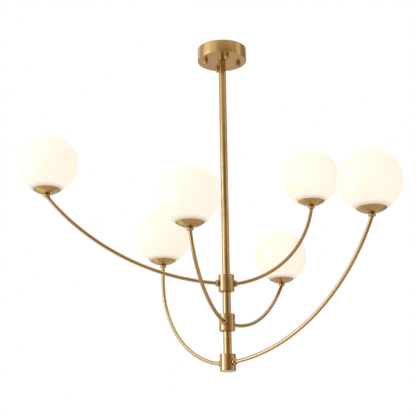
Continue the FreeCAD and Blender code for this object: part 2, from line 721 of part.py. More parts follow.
def make_arms(hub, blanks):
    """The hub's two arms, and collars bored to the way each arm runs through them."""
    hub_collar, lamp_collar = blanks
    outer = "arm_diameter / 2"
    hub_body = cylinder(f"{hub.name}_saddle", "hub_diameter / 2", "hub_height", z="-hub_height / 2")
    hub_collars = []
    lamp_collars = []
    for arm in hub.arms():
        tube = sweep_along_arm(arm, f"{arm.name}_arm", [outer, f"{outer} - arm_wall"])
        place(tube, z=hub.level, turn=f"{hub.azimuth} + {arm.turn}")
        node(tube, f"arm_{arm.name}")
        bore = sweep_along_arm(arm, f"{arm.name}_bore", [f"{outer} + collar_gap"])
        near = cut(f"{arm.name}_hub_collar", copy_of(hub_collar, f"{arm.name}_near"),
                   [hub_body, bore])
        far_blank = copy_of(lamp_collar, f"{arm.name}_far", x=arm.reach, z=hub.rise)
        far = cut(f"{arm.name}_lamp_collar", far_blank, [bore])
        hub_collars.append(place(near, turn=arm.turn))
        lamp_collars.append(place(far, turn=arm.turn))
    hub.settle(group(f"{hub.name}_hub_collars", hub_collars), f"hub_{hub.name}_arm_collars")
    hub.settle(group(f"{hub.name}_lamp_collars", lamp_collars), f"hub_{hub.name}_lamp_collars")


# ---- lamps ----


def make_dish():
    """Bowl with a ledge under the seal and a threaded ring that the globe screws onto."""
    rim = "dish_diameter / 2"
    ledge_edge = "globe_neck_diameter / 2 + seal_room"
    hole = "tail_diameter / 2 + thread_gap"
    ring_top = f"{SEAL_SEAT} + screw_ring_height"
    ring_inner = f"({SCREW_RING_RADIUS} - screw_ring_wall)"
    ring_foot = f"{BOWL_HEART} - sqrt({BOWL_CURVE}^2 - {ring_inner}^2)"
    return turned("dish", [
        (hole, DISH_UNDERSIDE),
        ("dish_foot_diameter / 2", DISH_UNDERSIDE, "dish_curve_radius", 1),
        (rim, RIM_LEVEL),
        (RIM_INNER, RIM_LEVEL, BOWL_CURVE, -1),
        (ledge_edge, SEAL_SEAT),
        (SCREW_RING_RADIUS, SEAL_SEAT),
        (SCREW_RING_RADIUS, ring_top),
        (ring_inner, ring_top),
        (ring_inner, ring_foot, BOWL_CURVE, -1),
        (HOLDER_FLAT, HOLDER_SEAT),
        (hole, HOLDER_SEAT),
    ])


def make_lampholder():
    """Ceramic holder with a threaded tail below and a slot for the lamp's blade above."""
    tail = "tail_diameter / 2"
    bore = "lead_bore_diameter / 2"
    flange = "holder_flange_diameter / 2"
    radius = "holder_diameter / 2"
    body = turned("lampholder", [
        (bore, f"{HOLDER_SEAT} - tail_length"),
        (tail, f"{HOLDER_SEAT} - tail_length"),
        (tail, HOLDER_SEAT),
        (flange, HOLDER_SEAT),
        (flange, f"{HOLDER_SEAT} + holder_flange_thickness"),
        (radius, f"{HOLDER_SEAT} + holder_flange_thickness"),
        (radius, BULB_SEAT),
        ("0", BULB_SEAT),
        ("0", f"{HOLDER_SEAT} + lead_bore_height"),
        (bore, f"{HOLDER_SEAT} + lead_bore_height"),
    ])
    slot = block("holder_slot", "socket_width", "socket_thickness", "socket_depth",
                 x="-socket_width / 2", y="-socket_thickness / 2", z=f"{BULB_SEAT} - socket_depth")
    return cut("holder", body, [slot])


def make_bulb():
    """Capsule lamp with a flat blade that plugs into the holder."""
    radius = "bulb_diameter / 2"
    capsule = turned("bulb_capsule", [
        ("0", BULB_SEAT),
        (radius, BULB_SEAT),
        (radius, f"{BULB_SEAT} + bulb_length - {radius}", radius, 1),
        ("0", f"{BULB_SEAT} + bulb_length"),
    ])
    width = "socket_width - 2 * blade_room"
    thickness = "socket_thickness - 2 * blade_room"
    depth = "socket_depth - blade_room"
    blade = block("bulb_blade", width, thickness, depth, x=f"-({width}) / 2",
                  y=f"-({thickness}) / 2", z=f"{BULB_SEAT} - ({depth})")
    joined = doc.addObject("Part::Fuse", "bulb")
    joined.Base = capsule
    joined.Tool = blade
    return joined


def make_globe(arm):
    """Opal glass ball whose foot has a threaded collar turned up inside it."""
    radius = "globe_diameter / 2"
    inside = f"{radius} - globe_wall"
    foot = "globe_neck_diameter / 2"
    bore = f"{foot} - globe_neck_wall"
    inner_edge = f"-sqrt(({inside})^2 - ({foot})^2)"
    body = turned(f"{arm.name}_globe", [
        (bore, f"-{GLOBE_RISE}"),
        (foot, f"-{GLOBE_RISE}", radius, 1),
        ("0", radius),
        ("0", inside, inside, -1),
        (foot, inner_edge),
        (foot, f"-{GLOBE_RISE} + globe_neck_height"),
        (bore, f"-{GLOBE_RISE} + globe_neck_height"),
    ])
    node(place(body, **arm.world_place(GLOBE_MIDDLE)), f"globe_{arm.name}")


def make_seal(arm):
    """Flat silicone ring that the globe's foot stands on."""
    body = ring(f"{arm.name}_seal", "globe_neck_diameter / 2", f"{SCREW_RING_RADIUS} + screw_gap",
                "0", "seal_thickness")
    node(place(body, **arm.world_place(SEAL_SEAT)), f"seal_{arm.name}")


def make_lamps(hub, originals):
    """A dish, a lampholder and a bulb at each of the hub's arm ends, and a seal and a globe."""
    for title, original in originals.items():
        copies = [
            copy_of(original, f"{arm.name}_{title}", **arm.lamp_place()) for arm in hub.arms()
        ]
        hub.settle(group(f"{hub.name}_{title}", copies), f"hub_{hub.name}_{title}")
    for arm in hub.arms():
        make_seal(arm)
        make_globe(arm)


# ---- wires ----


def lead_path(arm):
    """The lead from its splice through the arm, then up through the collar to the holder."""
    path, ending = arm.bends()
    path[0] = ("run", value(COLLAR_SEAT) - value(LEAD_START))
    holder_end = value(f"{HOLDER_SEAT} + lead_bore_height - wire_gap")
    back = value("lead_turn_in")
    if path[-1][0] == "run":
        path[-1] = ("run", path[-1][1] + holder_end)
        return path
    _, radius, turn = path[-1]
    shorter = math.degrees(back / radius)
    leaving = math.radians(ending - shorter)
    middle = radius * math.radians(shorter / 2) * 2
    aim = math.radians(ending - shorter / 2)
    across = middle * math.cos(aim)
    below = middle * math.sin(aim)
    last_radius = across / (1 - math.sin(leaving))
    upright = holder_end + below - last_radius * math.cos(leaving)
    path[-1] = ("bend", radius, turn - shorter)
    path.append(("bend", last_radius, 90 - math.degrees(leaving)))
    path.append(("run", upright))
    return path


def make_leads(hub):
    """One lead in each arm of the hub."""
    leads = []
    for arm in hub.arms():
        start = FreeCAD.Vector(value(LEAD_START), 0, 0)
        solid = swept(arm.name, lead_path(arm), start, 0.0, value("lead_diameter / 2"))
        solid.rotate(ORIGIN, UP, float(arm.turn))
        leads.append(solid)
    thing = doc.addObject("Part::Feature", f"{hub.name}_leads")
    thing.Shape = Part.Compound(leads)
    hub.settle(thing, f"hub_{hub.name}_leads")


def make_harness(hubs):
    """The bundle from the terminal block over and down the centre tube, with a branch through
    each port of the tube, and a splice where each branch meets an arm's lead."""
    top = value(TUBE_TOP) + 1
    bottom = value(BOTTOM_HUB) - value("tube_port_diameter / 2")
    bend = value("harness_bend")
    path = [
        ("run", top - bottom),
        ("bend", bend, 90),
        ("run", value("block_offset") - bend),
    ]
    bundle = swept("bundle", path, FreeCAD.Vector(0, bottom, 0), math.pi / 2,
                   value("harness_diameter / 2"))
    bundle.rotate(ORIGIN, UP, -90)
    branches = []
    splices = []
    radius = value("lead_diameter / 2")
    length = value("splice_length")
    splice_radius = value(f"({SPLICE_OUTER} - ({SPLICE_INNER})) / 2")
    splice_middle = value(f"({SPLICE_OUTER} + {SPLICE_INNER}) / 2")
    for hub in hubs:
        turn = FreeCAD.Rotation(UP, value(hub.azimuth))
        for side in (1, -1):
            middle = FreeCAD.Vector(0, 0, value(hub.level))
            outward = turn.multVec(FreeCAD.Vector(side, 0, 0))
            reach = value(SPLICE_INNER)
            branches.append(Part.makeCylinder(radius, reach, middle, outward))
            foot = middle + outward * splice_middle - UP * (length / 2)
            splices.append(Part.makeCylinder(splice_radius, length, foot, UP))
    harness = doc.addObject("Part::Feature", "harness")
    harness.Shape = bundle.fuse(branches)
    node(harness, "supply_harness")
    joints = doc.addObject("Part::Feature", "splices")
    joints.Shape = Part.Compound(splices)
    node(joints, "lead_splices")


# ---- the whole lamp ----


def build():
    """Makes every sub-part of the lamp."""
    fill_sheet()
    hubs = [Hub("top", TOP_HUB), Hub("middle", MIDDLE_HUB), Hub("bottom", BOTTOM_HUB)]
    make_ceiling_plate()
    make_canopy()
    make_studs_and_nuts()
    make_terminal_block()
    make_stem(hubs)
    blanks = make_collar_blanks()
    lamp = {"dishes": make_dish(), "lampholders": make_lampholder(), "bulbs": make_bulb()}
    for hub in hubs:
        make_hub(hub)
        make_arms(hub, blanks)
        make_lamps(hub, lamp)
        make_leads(hub)
    make_harness(hubs)
    doc.recompute()


def check():
    """Stops if any object failed to build or any sub-part has no sound shape."""
    for thing in doc.Objects:
        if "Invalid" in thing.State or "Error" in thing.State:
            raise RuntimeError(f"{thing.Label} failed: {thing.State}")
    for thing in nodes:
        shape = thing.Shape
        if shape.isNull() or not shape.isValid() or not shape.Solids:
            raise RuntimeError(f"{thing.Label} has no sound solid")


def write():
    """Writes each sub-part to its own file."""
    os.makedirs("parts", exist_ok=True)
    for thing in nodes:
        thing.Shape.exportStep(f"parts/{thing.Label}.step")
        print(f"{thing.Label}: {len(thing.Shape.Solids)} solid(s), {thing.Shape.Volume:.0f} mm3")


build()
check()
write()
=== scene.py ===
"""Branch chandelier in satin brass with opal globes: its looks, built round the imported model.

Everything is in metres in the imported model's frame: the origin is the middle of the ceiling
plate's upper face, +Z is up, +X is to the right and +Y away from the camera.
"""

from __future__ import annotations

import json
import logging
import math
from dataclasses import dataclass, field
from enum import Enum

import bmesh
import bpy
from mathutils import Matrix, Vector

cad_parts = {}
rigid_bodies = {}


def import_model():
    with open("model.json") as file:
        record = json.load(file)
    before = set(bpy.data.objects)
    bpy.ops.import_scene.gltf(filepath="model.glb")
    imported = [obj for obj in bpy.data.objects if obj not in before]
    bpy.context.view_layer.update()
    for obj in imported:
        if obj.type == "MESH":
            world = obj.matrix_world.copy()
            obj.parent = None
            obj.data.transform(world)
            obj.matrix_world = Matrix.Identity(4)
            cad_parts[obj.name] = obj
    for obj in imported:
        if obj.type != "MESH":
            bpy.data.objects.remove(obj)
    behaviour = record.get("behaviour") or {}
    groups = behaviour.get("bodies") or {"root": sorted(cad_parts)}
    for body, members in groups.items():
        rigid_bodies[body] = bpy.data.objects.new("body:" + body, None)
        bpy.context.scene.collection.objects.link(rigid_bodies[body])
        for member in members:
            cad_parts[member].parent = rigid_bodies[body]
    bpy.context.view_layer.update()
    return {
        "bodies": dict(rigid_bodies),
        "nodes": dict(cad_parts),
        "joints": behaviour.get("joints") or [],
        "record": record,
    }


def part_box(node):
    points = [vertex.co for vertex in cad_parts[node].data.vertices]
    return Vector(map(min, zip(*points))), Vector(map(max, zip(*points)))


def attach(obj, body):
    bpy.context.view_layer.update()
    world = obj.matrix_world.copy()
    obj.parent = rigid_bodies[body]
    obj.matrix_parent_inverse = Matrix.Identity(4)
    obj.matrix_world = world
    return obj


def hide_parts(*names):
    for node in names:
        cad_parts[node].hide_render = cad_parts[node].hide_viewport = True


MM = 0.001
UV_NAME = "UVMap"
ON_AXIS = 1e-7  # nearer to the axis than this, a point of an outline lies on it
SHARP_EDGE = 32.0  # faces that meet at more than this many degrees keep a crisp edge
LOG = logging.getLogger("chandelier")

Point = tuple[float, float]
Spot = tuple[float, float, float]
Material = bpy.types.Material
Mesh = bpy.types.Mesh
Node = bpy.types.Node
Socket = bpy.types.NodeSocket
Tree = bpy.types.NodeTree


# ---- node helpers --------------------------------------------------------------------------


def linear(code: str) -> tuple[float, float, float, float]:
    """Turns an sRGB hex colour into the linear colour that a shader takes.

    Args:
        code: six hex digits after a hash sign.

    Returns:
        Red, green, blue and an alpha of 1.
    """
    shares = [int(code[index : index + 2], 16) / 255 for index in (1, 3, 5)]
    red, green, blue = [
        share / 12.92 if share <= 0.04045 else ((share + 0.055) / 1.055) ** 2.4 for share in shares
    ]
    return red, green, blue, 1.0


def add(tree: Tree, kind: str, links: dict | None = None, **settings: object) -> Node:
    """Adds a node with its settings, its values and its links.

    Args:
        tree: the tree it goes into.
        kind: the node's type name.
        links: input name or number to a value, to the socket that feeds it, or to the node whose
            first output does.
        settings: the node's own properties.

    Returns:
        The new node.
    """
    node = tree.nodes.new(kind)
    for name, setting in settings.items():
        setattr(node, name, setting)
    for key, source in (links or {}).items():
        if isinstance(source, Node):
            source = source.outputs[0]
        if isinstance(source, Socket):
            tree.links.new(source, node.inputs[key])
        else:
            node.inputs[key].default_value = source
    return node


def blank(name: str) -> tuple[Material, Tree]:
    """Makes a material with nothing in its tree yet.

    Args:
        name: the material's name.

    Returns:
        The material and its tree.
    """
    made = bpy.data.materials.new(name)
    made.use_nodes = True
    made.node_tree.nodes.clear()
    return made, made.node_tree


# ---- shape helpers -------------------------------------------------------------------------


def arc(centre: Point, radius: float, start: float, finish: float, steps: int) -> list[Point]:
    """Samples an arc of an outline.

    Args:
        centre: its middle, as distance from the axis and height.
        radius: its radius.
        start: first direction, in degrees from straight outwards.
        finish: last direction, in degrees.
        steps: how many chords it has.

    Returns:
        The points from start to finish, both included.
    """
    turns = [math.radians(start + (finish - start) * step / steps) for step in range(steps + 1)]
    return [
        (centre[0] + radius * math.cos(turn), centre[1] + radius * math.sin(turn))
        for turn in turns
    ]


def eased(outline: list[Point], radius: float, steps: int = 3, least: float = 28.0) -> list[Point]:
    """Rounds the sharp corners of a closed outline, so that its edges catch light.

    Args:
        outline: the corners, as distance from the axis and height.
        radius: the rounding, made less where an edge is short.
        steps: chords in each rounding.
        least: corners that turn by fewer degrees than this are left as they are.

    Returns:
        The outline with its roundings.
    """
    result: list[Point] = []
    corners = [Vector(corner) for corner in outline]
    for index, corner in enumerate(corners):
        before = corners[index - 1] - corner
        after = corners[(index + 1) % len(corners)] - corner
        turn = math.pi - before.angle(after, math.pi)
        if corner.x < ON_AXIS or turn < math.radians(least):
            result.append((corner.x, corner.y))
            continue
        # a rounding takes less than half of each edge, so that two of them never meet
        reach = min(radius * math.tan(turn / 2), 0.45 * before.length, 0.45 * after.length)
        first = corner + before.normalized() * reach
        last = corner + after.normalized() * reach
        for step in range(steps + 1):
            share = step / steps
            spot = first.lerp(corner, share).lerp(corner.lerp(last, share), share)
            result.append((spot.x, spot.y))
    return result


@dataclass(frozen=True)
class Thread:
    """A rounded screw thread on a turned piece, between two heights."""

    low: float
    high: float
    radius: float
    lead: float = 3.0 * MM
    depth: float = 0.25 * MM
    run_out: float = 1.2 * MM
    reach: float = 0.02 * MM

    def push(self, distance: float, height: float, turn: float) -> float:
        """Gives the distance from the axis that a point of the blank has on the thread.

        Args:
            distance: the blank's distance from the axis.
            height: the point's height.
            turn: its direction round the axis, in radians.

        Returns:
            The distance with the thread cut into it.
        """
        if abs(distance - self.radius) > self.reach or not self.low <= height <= self.high:
            return distance
        fade = min(1.0, (height - self.low) / self.run_out, (self.high - height) / self.run_out)
        wave = math.cos(2 * math.pi * height / self.lead - turn)
        return distance - self.depth * fade * (0.5 + 0.5 * wave)


def lathe(name: str, outline: list[Point], sides: int, thread: Thread | None = None) -> Mesh:
    """Turns a closed outline round the Z axis, with a UV map in metres.

    The map's U runs round the piece and its V along the outline, so that a brushed grain can
    follow the way in which the real piece was turned.

    Args:
        name: the mesh's name.
        outline: its corners, as distance from the axis and height.
        sides: how many sides a circle has.
        thread: a thread to cut, if any.

    Returns:
        The closed mesh.
    """
    shape = bmesh.new()
    layer = shape.loops.layers.uv.new(UV_NAME)
    rings: list[list[bmesh.types.BMVert]] = []
    for distance, height in outline:
        if distance < ON_AXIS:
            rings.append([shape.verts.new((0, 0, height))])
            continue
        ring = []
        for side in range(sides):
            turn = 2 * math.pi * side / sides
            cut = thread.push(distance, height, turn) if thread else distance
            ring.append(shape.verts.new((cut * math.cos(turn), cut * math.sin(turn), height)))
        rings.append(ring)
    along = 0.0
    girth = 2 * math.pi * max(point[0] for point in outline)
    for index, here in enumerate(rings):
        following = (index + 1) % len(rings)
        there = rings[following]
        step = math.dist(outline[index], outline[following])
        if len(here) > 1 or len(there) > 1:
            band(shape, layer, (here, there), (along, along + step), sides, girth)
        along += step
    bmesh.ops.remove_doubles(shape, verts=shape.verts, dist=ON_AXIS)
    bmesh.ops.recalc_face_normals(shape, faces=shape.faces)
    mesh = bpy.data.meshes.new(name)
    shape.to_mesh(mesh)
    shape.free()
    return mesh


def band(
    shape: bmesh.types.BMesh,
    layer: bmesh.types.BMLayerItem,
    rings: tuple[list, list],
    heights: Point,
    sides: int,
    girth: float,
) -> None:
    """Fills the faces between two rings of a turned piece.

    Args:
        shape: the mesh being made.
        layer: its UV layer.
        rings: the two rings, one of which may be a single point on the axis.
        heights: how far along the outline each ring lies.
        sides: how many sides a circle has.
        girth: the piece's largest circumference, which scales U.
    """
    here, there = rings
    for side in range(sides):
        after = (side + 1) % sides
        corners = [(here[side % len(here)], side, heights[0])]
        if len(here) > 1:
            corners.append((here[after], side + 1, heights[0]))
        if len(there) > 1:
            corners.append((there[after], side + 1, heights[1]))
        corners.append((there[side % len(there)], side, heights[1]))
        face = shape.faces.new([corner[0] for corner in corners])
        face.smooth = True
        for loop, (_, column, along) in zip(face.loops, corners):
            loop[layer].uv = (girth * column / sides, along)


def sheet(name: str, width: float, depth: float) -> Mesh:
    """Makes a flat rectangle about the origin, facing up.

    Args:
        name: the mesh's name.
        width: its size along X.
        depth: its size along Y.

    Returns:
        The mesh.
    """
    x, y = width / 2, depth / 2
    mesh = bpy.data.meshes.new(name)
    mesh.from_pydata([(-x, -y, 0), (x, -y, 0), (x, y, 0), (-x, y, 0)], [], [(0, 1, 2, 3)])
    return mesh


def stand(name: str, mesh: Mesh) -> bpy.types.Object:
    """Puts a mesh into the scene as an object at the origin.

    Args:
        name: the object's name.
        mesh: its mesh.

    Returns:
        The object.
    """
    thing = bpy.data.objects.new(name, mesh)
    bpy.context.scene.collection.objects.link(thing)
    return thing


def moved(mesh: Mesh, spot: Spot, bearing: float = 0.0) -> Mesh:
    """Turns a mesh's points about Z and moves them to their place.

    Args:
        mesh: the mesh, made about the origin.
        spot: where its origin goes.
        bearing: turn about Z, in degrees.

    Returns:
        The same mesh.
    """
    mesh.transform(Matrix.Translation(spot) @ Matrix.Rotation(math.radians(bearing), 4, "Z"))
    return mesh


def settle(name: str, mesh: Mesh, body: str, slot: str, material: Material, *nodes: str) -> None:
    """Finishes a new piece: its material, its body and the nodes it stands for.

    Args:
        name: the piece's name.
        mesh: its mesh, in its place.
        body: the body it rides on.
        slot: the record's material slot; not used.
        material: its finish.
        nodes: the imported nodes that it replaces.
    """
    thing = stand(name, mesh)
    mesh.materials.clear()
    mesh.materials.append(material)
    mesh.shade_smooth()
    mesh.set_sharp_from_angle(angle=math.radians(SHARP_EDGE))
    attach(thing, body)
    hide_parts(*nodes)
    LOG.info("piece %s on %s stands for %s", name, body, ", ".join(nodes))


# ---- rules that Geometry Nodes follow ------------------------------------------------------


class Rule(Enum):
    """The three rules by which pieces of this lamp repeat or run."""

    RING = "Pieces in a ring"
    LAMPS = "Pieces at both lamps of a hub"
    TUBE = "Bent tube along its line"


INPUT_KINDS = {
    "Piece": "NodeSocketObject",
    "Finish": "NodeSocketMaterial",
    "Count": "NodeSocketInt",
    "Sides": "NodeSocketInt",
}


def start_tree(rule: Rule, *names: str) -> tuple[Tree, bpy.types.bpy_prop_collection]:
    """Opens a Geometry Nodes tree with its named inputs.

    Args:
        rule: which rule it is for.
        names: its inputs, in order, after the geometry.

    Returns:
        The tree and the sockets that carry its inputs, by name.
    """
    tree = bpy.data.node_groups.new(rule.value, "GeometryNodeTree")
    tree.interface.new_socket("Geometry", in_out="INPUT", socket_type="NodeSocketGeometry")
    for name in names:
        kind = INPUT_KINDS.get(name, "NodeSocketFloat")
        tree.interface.new_socket(name, in_out="INPUT", socket_type=kind)
    tree.interface.new_socket("Geometry", in_out="OUTPUT", socket_type="NodeSocketGeometry")
    return tree, add(tree, "NodeGroupInput").outputs


def end_tree(tree: Tree, shape: Node, finish: Socket) -> None:
    """Ends a tree in real faces with their finish.

    Args:
        tree: the tree.
        shape: the node that gives the geometry so far.
        finish: the material input.
    """
    solid = add(tree, "GeometryNodeRealizeInstances", {0: shape})
    dressed = add(tree, "GeometryNodeSetMaterial", {"Geometry": solid, "Material": finish})
    add(tree, "NodeGroupOutput", {0: dressed})


def set_out(tree: Tree, piece: Socket, count: Socket | int, spot: Node, turn: Node) -> Node:
    """Sets copies of a piece out on points of their own.

    Args:
        tree: the tree.
        piece: the object that is copied.
        count: how many copies there are.
        spot: where each copy stands.
        turn: how each copy is turned.

    Returns:
        The node that gives the copies.
    """
    points = add(tree, "GeometryNodePoints", {"Count": count, "Position": spot})
    original = add(tree, "GeometryNodeObjectInfo", {"Object": piece})
    return add(
        tree,
        "GeometryNodeInstanceOnPoints",
        {"Points": points, "Instance": original.outputs["Geometry"], "Rotation": turn},
    )


def ring_tree() -> Tree:
    """Sets copies of a piece on a circle about the Z axis, each turned to face outwards.

    Returns:
        The tree.
    """
    tree, given = start_tree(
        Rule.RING, "Piece", "Finish", "Count", "Circle radius", "First bearing", "Height"
    )
    number = add(tree, "GeometryNodeInputIndex")
    share = add(
        tree, "ShaderNodeMath", {0: 2 * math.pi, 1: given["Count"]}, operation="DIVIDE"
    )
    bearing = add(
        tree,
        "ShaderNodeMath",
        {0: number, 1: share, 2: given["First bearing"]},
        operation="MULTIPLY_ADD",
    )
    turn = add(tree, "ShaderNodeCombineXYZ", {"Z": bearing})
    start = add(
        tree, "ShaderNodeCombineXYZ", {"X": given["Circle radius"], "Z": given["Height"]}
    )
    spot = add(
        tree,
        "ShaderNodeVectorRotate",
        {"Vector": start, "Rotation": turn},
        rotation_type="EULER_XYZ",
    )
    end_tree(tree, set_out(tree, given["Piece"], given["Count"], spot, turn), given["Finish"])
    return tree


def lamps_tree() -> Tree:
    """Sets one copy at the long arm's lamp and one, turned half round, at the short arm's.

    Returns:
        The tree.
    """
    tree, given = start_tree(
        Rule.LAMPS, "Piece", "Finish", "Long reach", "Short reach", "Rise", "Level", "Bearing"
    )
    number = add(tree, "GeometryNodeInputIndex")
    long, short = given["Long reach"], given["Short reach"]
    both = add(tree, "ShaderNodeMath", {0: long, 1: short}, operation="ADD")
    across = add(tree, "ShaderNodeMath", {0: number, 1: both}, operation="MULTIPLY")
    place = add(tree, "ShaderNodeMath", {0: long, 1: across}, operation="SUBTRACT")
    height = add(
        tree, "ShaderNodeMath", {0: given["Rise"], 1: given["Level"]}, operation="ADD"
    )
    spot = add(tree, "ShaderNodeCombineXYZ", {"X": place, "Z": height})
    half = add(tree, "ShaderNodeMath", {0: number, 1: math.pi}, operation="MULTIPLY")
    turn = add(tree, "ShaderNodeCombineXYZ", {"Z": half})
    copies = set_out(tree, given["Piece"], 2, spot, turn)
    aim = add(tree, "ShaderNodeCombineXYZ", {"Z": given["Bearing"]})
    aimed = add(tree, "GeometryNodeTransform", {"Geometry": copies, "Rotation": aim})
    end_tree(tree, aimed, given["Finish"])
    return tree


def tube_tree() -> Tree:
    """Draws a round tube along a line, with a UV map in metres whose V runs along the tube.

    Returns:
        The tree.
    """
    tree, given = start_tree(Rule.TUBE, "Finish", "Radius", "Sides")
    line = add(tree, "GeometryNodeMeshToCurve", {"Mesh": given["Geometry"]})
    circle = add(
        tree,
        "GeometryNodeCurvePrimitiveCircle",
        {"Resolution": given["Sides"], "Radius": given["Radius"]},
    )
    curves, lengths = {}, {}
    for name, curve in (("along", line), ("around", circle)):
        length = add(tree, "GeometryNodeSplineParameter").outputs["Length"]
        curves[name] = add(
            tree,
            "GeometryNodeStoreNamedAttribute",
            {"Geometry": curve, "Name": name, "Value": length},
            data_type="FLOAT",
            domain="POINT",
        )
        lengths[name] = add(
            tree, "GeometryNodeInputNamedAttribute", {"Name": name}, data_type="FLOAT"
        )
    tube = add(
        tree,
        "GeometryNodeCurveToMesh",
        {"Curve": curves["along"], "Profile Curve": curves["around"], "Fill Caps": True},
    )
    pair = add(tree, "ShaderNodeCombineXYZ", {"X": lengths["around"], "Y": lengths["along"]})
    mapped = add(
        tree,
        "GeometryNodeStoreNamedAttribute",
        {"Geometry": tube, "Name": UV_NAME, "Value": pair},
        data_type="FLOAT2",
        domain="CORNER",
    )
    end_tree(tree, mapped, given["Finish"])
    return tree


TREE_MAKERS = {Rule.RING: ring_tree, Rule.LAMPS: lamps_tree, Rule.TUBE: tube_tree}


def grown(name: str, rule: Rule, base: Mesh, **inputs: object) -> Mesh:
    """Grows a piece by one of the rules and keeps the result as a plain mesh.

    Args:
        name: the piece's name.
        rule: the rule to follow.
        base: the mesh that the rule starts from.
        inputs: the rule's inputs, with underscores for spaces.

    Returns:
        The mesh, which needs no modifier any more.
    """
    tree = bpy.data.node_groups.get(rule.value) or TREE_MAKERS[rule]()
    seed = stand(name + "_seed", base)
    modifier = seed.modifiers.new(rule.value, "NODES")
    modifier.node_group = tree
    sockets = {
        item.name: item.identifier
        for item in tree.interface.items_tree
        if item.in_out == "INPUT"
    }
    for key, setting in inputs.items():
        modifier[sockets[key.replace("_", " ")]] = setting
    graph = bpy.context.evaluated_depsgraph_get()
    mesh = bpy.data.meshes.new_from_object(seed.evaluated_get(graph), depsgraph=graph)
    mesh.name = name
    bpy.data.objects.remove(seed)
    return mesh


def repeated(name: str, rule: Rule, single: Mesh, **inputs: object) -> Mesh:
    """Sets copies of one made piece out by a rule.

    Args:
        name: the name of the whole.
        rule: the rule to follow.
        single: the piece that is copied.
        inputs: the rule's other inputs, with underscores for spaces.

    Returns:
        The mesh of all copies.
    """
    original = stand(name + "_one", single)
    empty = bpy.data.meshes.new(name + "_start")
    mesh = grown(name, rule, empty, Piece=original, **inputs)
    bpy.data.objects.remove(original)
    return mesh


# ---- finishes ------------------------------------------------------------------------------


@dataclass(frozen=True)
class Brushed:
    """Plated metal, brushed round on a wheel and lacquered.

    The wheel leaves fine rings round each piece, which stretch highlights across the grain. Its
    uneven pressure leaves slower bands of a deeper tone, and the lacquer lays a thin clear gloss
    over them.
    """

    name: str
    colour: str = "#C8A465"
    deep_colour: str = "#BF9A5B"
    roughness: float = 0.27
    roughness_swing: float = 0.02
    stretch: float = 0.6
    stretch_turn: float = 0.25
    lacquer: float = 0.6
    lacquer_roughness: float = 0.14
    grain: float = 0.30 * MM
    grain_depth: float = 0.0015 * MM
    grain_strength: float = 0.25
    grain_detail: float = 2.0
    drift: float = 3.0 * MM
    drift_detail: float = 1.0
    drift_share: float = 0.55
    cloud: float = 28.0 * MM
    cloud_detail: float = 3.0
    tone_range: Point = (0.36, 0.64)
    grain_range: Point = (0.3, 0.7)

    def material(self) -> Material:
        """Makes the finish's material.

        Returns:
            The material.
        """
        made, tree = blank(self.name)
        mapped = add(tree, "ShaderNodeUVMap", uv_map=UV_NAME)
        along = add(tree, "ShaderNodeSeparateXYZ", {0: mapped}).outputs["Y"]
        # the rings of a real brush lie closer than 0.1 mm, and the eye sees them as a satin sheen;
        # they are drawn a few times as coarse, so that they show
        fine = self.rings(tree, along, self.grain, self.grain_detail)
        # slower bands and clouds: the tone drifts a little, as on a hand-held piece
        bands = self.rings(tree, along, self.drift, self.drift_detail)
        place = add(tree, "ShaderNodeTexCoord").outputs["Object"]
        clouds = add(
            tree,
            "ShaderNodeTexNoise",
            {"Vector": place, "Scale": 1 / self.cloud, "Detail": self.cloud_detail},
        )
        banded = add(
            tree, "ShaderNodeMath", {0: bands, 1: self.drift_share}, operation="MULTIPLY"
        )
        tone = add(
            tree,
            "ShaderNodeMath",
            {0: clouds, 1: 1 - self.drift_share, 2: banded},
            operation="MULTIPLY_ADD",
        )
        low, high = self.tone_range
        share = add(
            tree, "ShaderNodeMapRange", {"Value": tone, "From Min": low, "From Max": high}
        )
        tint = add(
            tree,
            "ShaderNodeMix",
            {0: share, 6: linear(self.deep_colour), 7: linear(self.colour)},
            data_type="RGBA",
        )
        low, high = self.grain_range
        gloss = add(
            tree,
            "ShaderNodeMapRange",
            {
                "Value": fine,
                "From Min": low,
                "From Max": high,
                "To Min": self.roughness - self.roughness_swing,
                "To Max": self.roughness + self.roughness_swing,
            },
        )
        bump = add(
            tree,
            "ShaderNodeBump",
            {"Height": fine, "Strength": self.grain_strength, "Distance": self.grain_depth},
        )
        way = add(tree, "ShaderNodeTangent", direction_type="UV_MAP", uv_map=UV_NAME)
        shader = add(
            tree,
            "ShaderNodeBsdfPrincipled",
            {
                "Base Color": tint.outputs[2],
                "Metallic": 1.0,
                "Roughness": gloss,
                "Normal": bump,
                "Anisotropic": self.stretch,
                "Anisotropic Rotation": self.stretch_turn,
                "Tangent": way,
                "Coat Weight": self.lacquer,
                "Coat Roughness": self.lacquer_roughness,
            },
        )
        add(tree, "ShaderNodeOutputMaterial", {"Surface": shader})
        return made

    def rings(self, tree: Tree, along: Socket, gap: float, detail: float) -> Node:
        """Makes rings at a mean distance along the piece.

        Args:
            tree: the material's tree.
            along: the way along the piece, in metres.
            gap: mean distance between rings, in metres.
            detail: finer layers of the same.

        Returns:
            The node that gives a value from 0 to 1.
        """
        count = add(tree, "ShaderNodeMath", {0: along, 1: gap}, operation="DIVIDE")
        return add(
            tree,
            "ShaderNodeTexNoise",
            {"W": count, "Scale": 1.0, "Detail": detail},
            noise_dimensions="1D",
        )


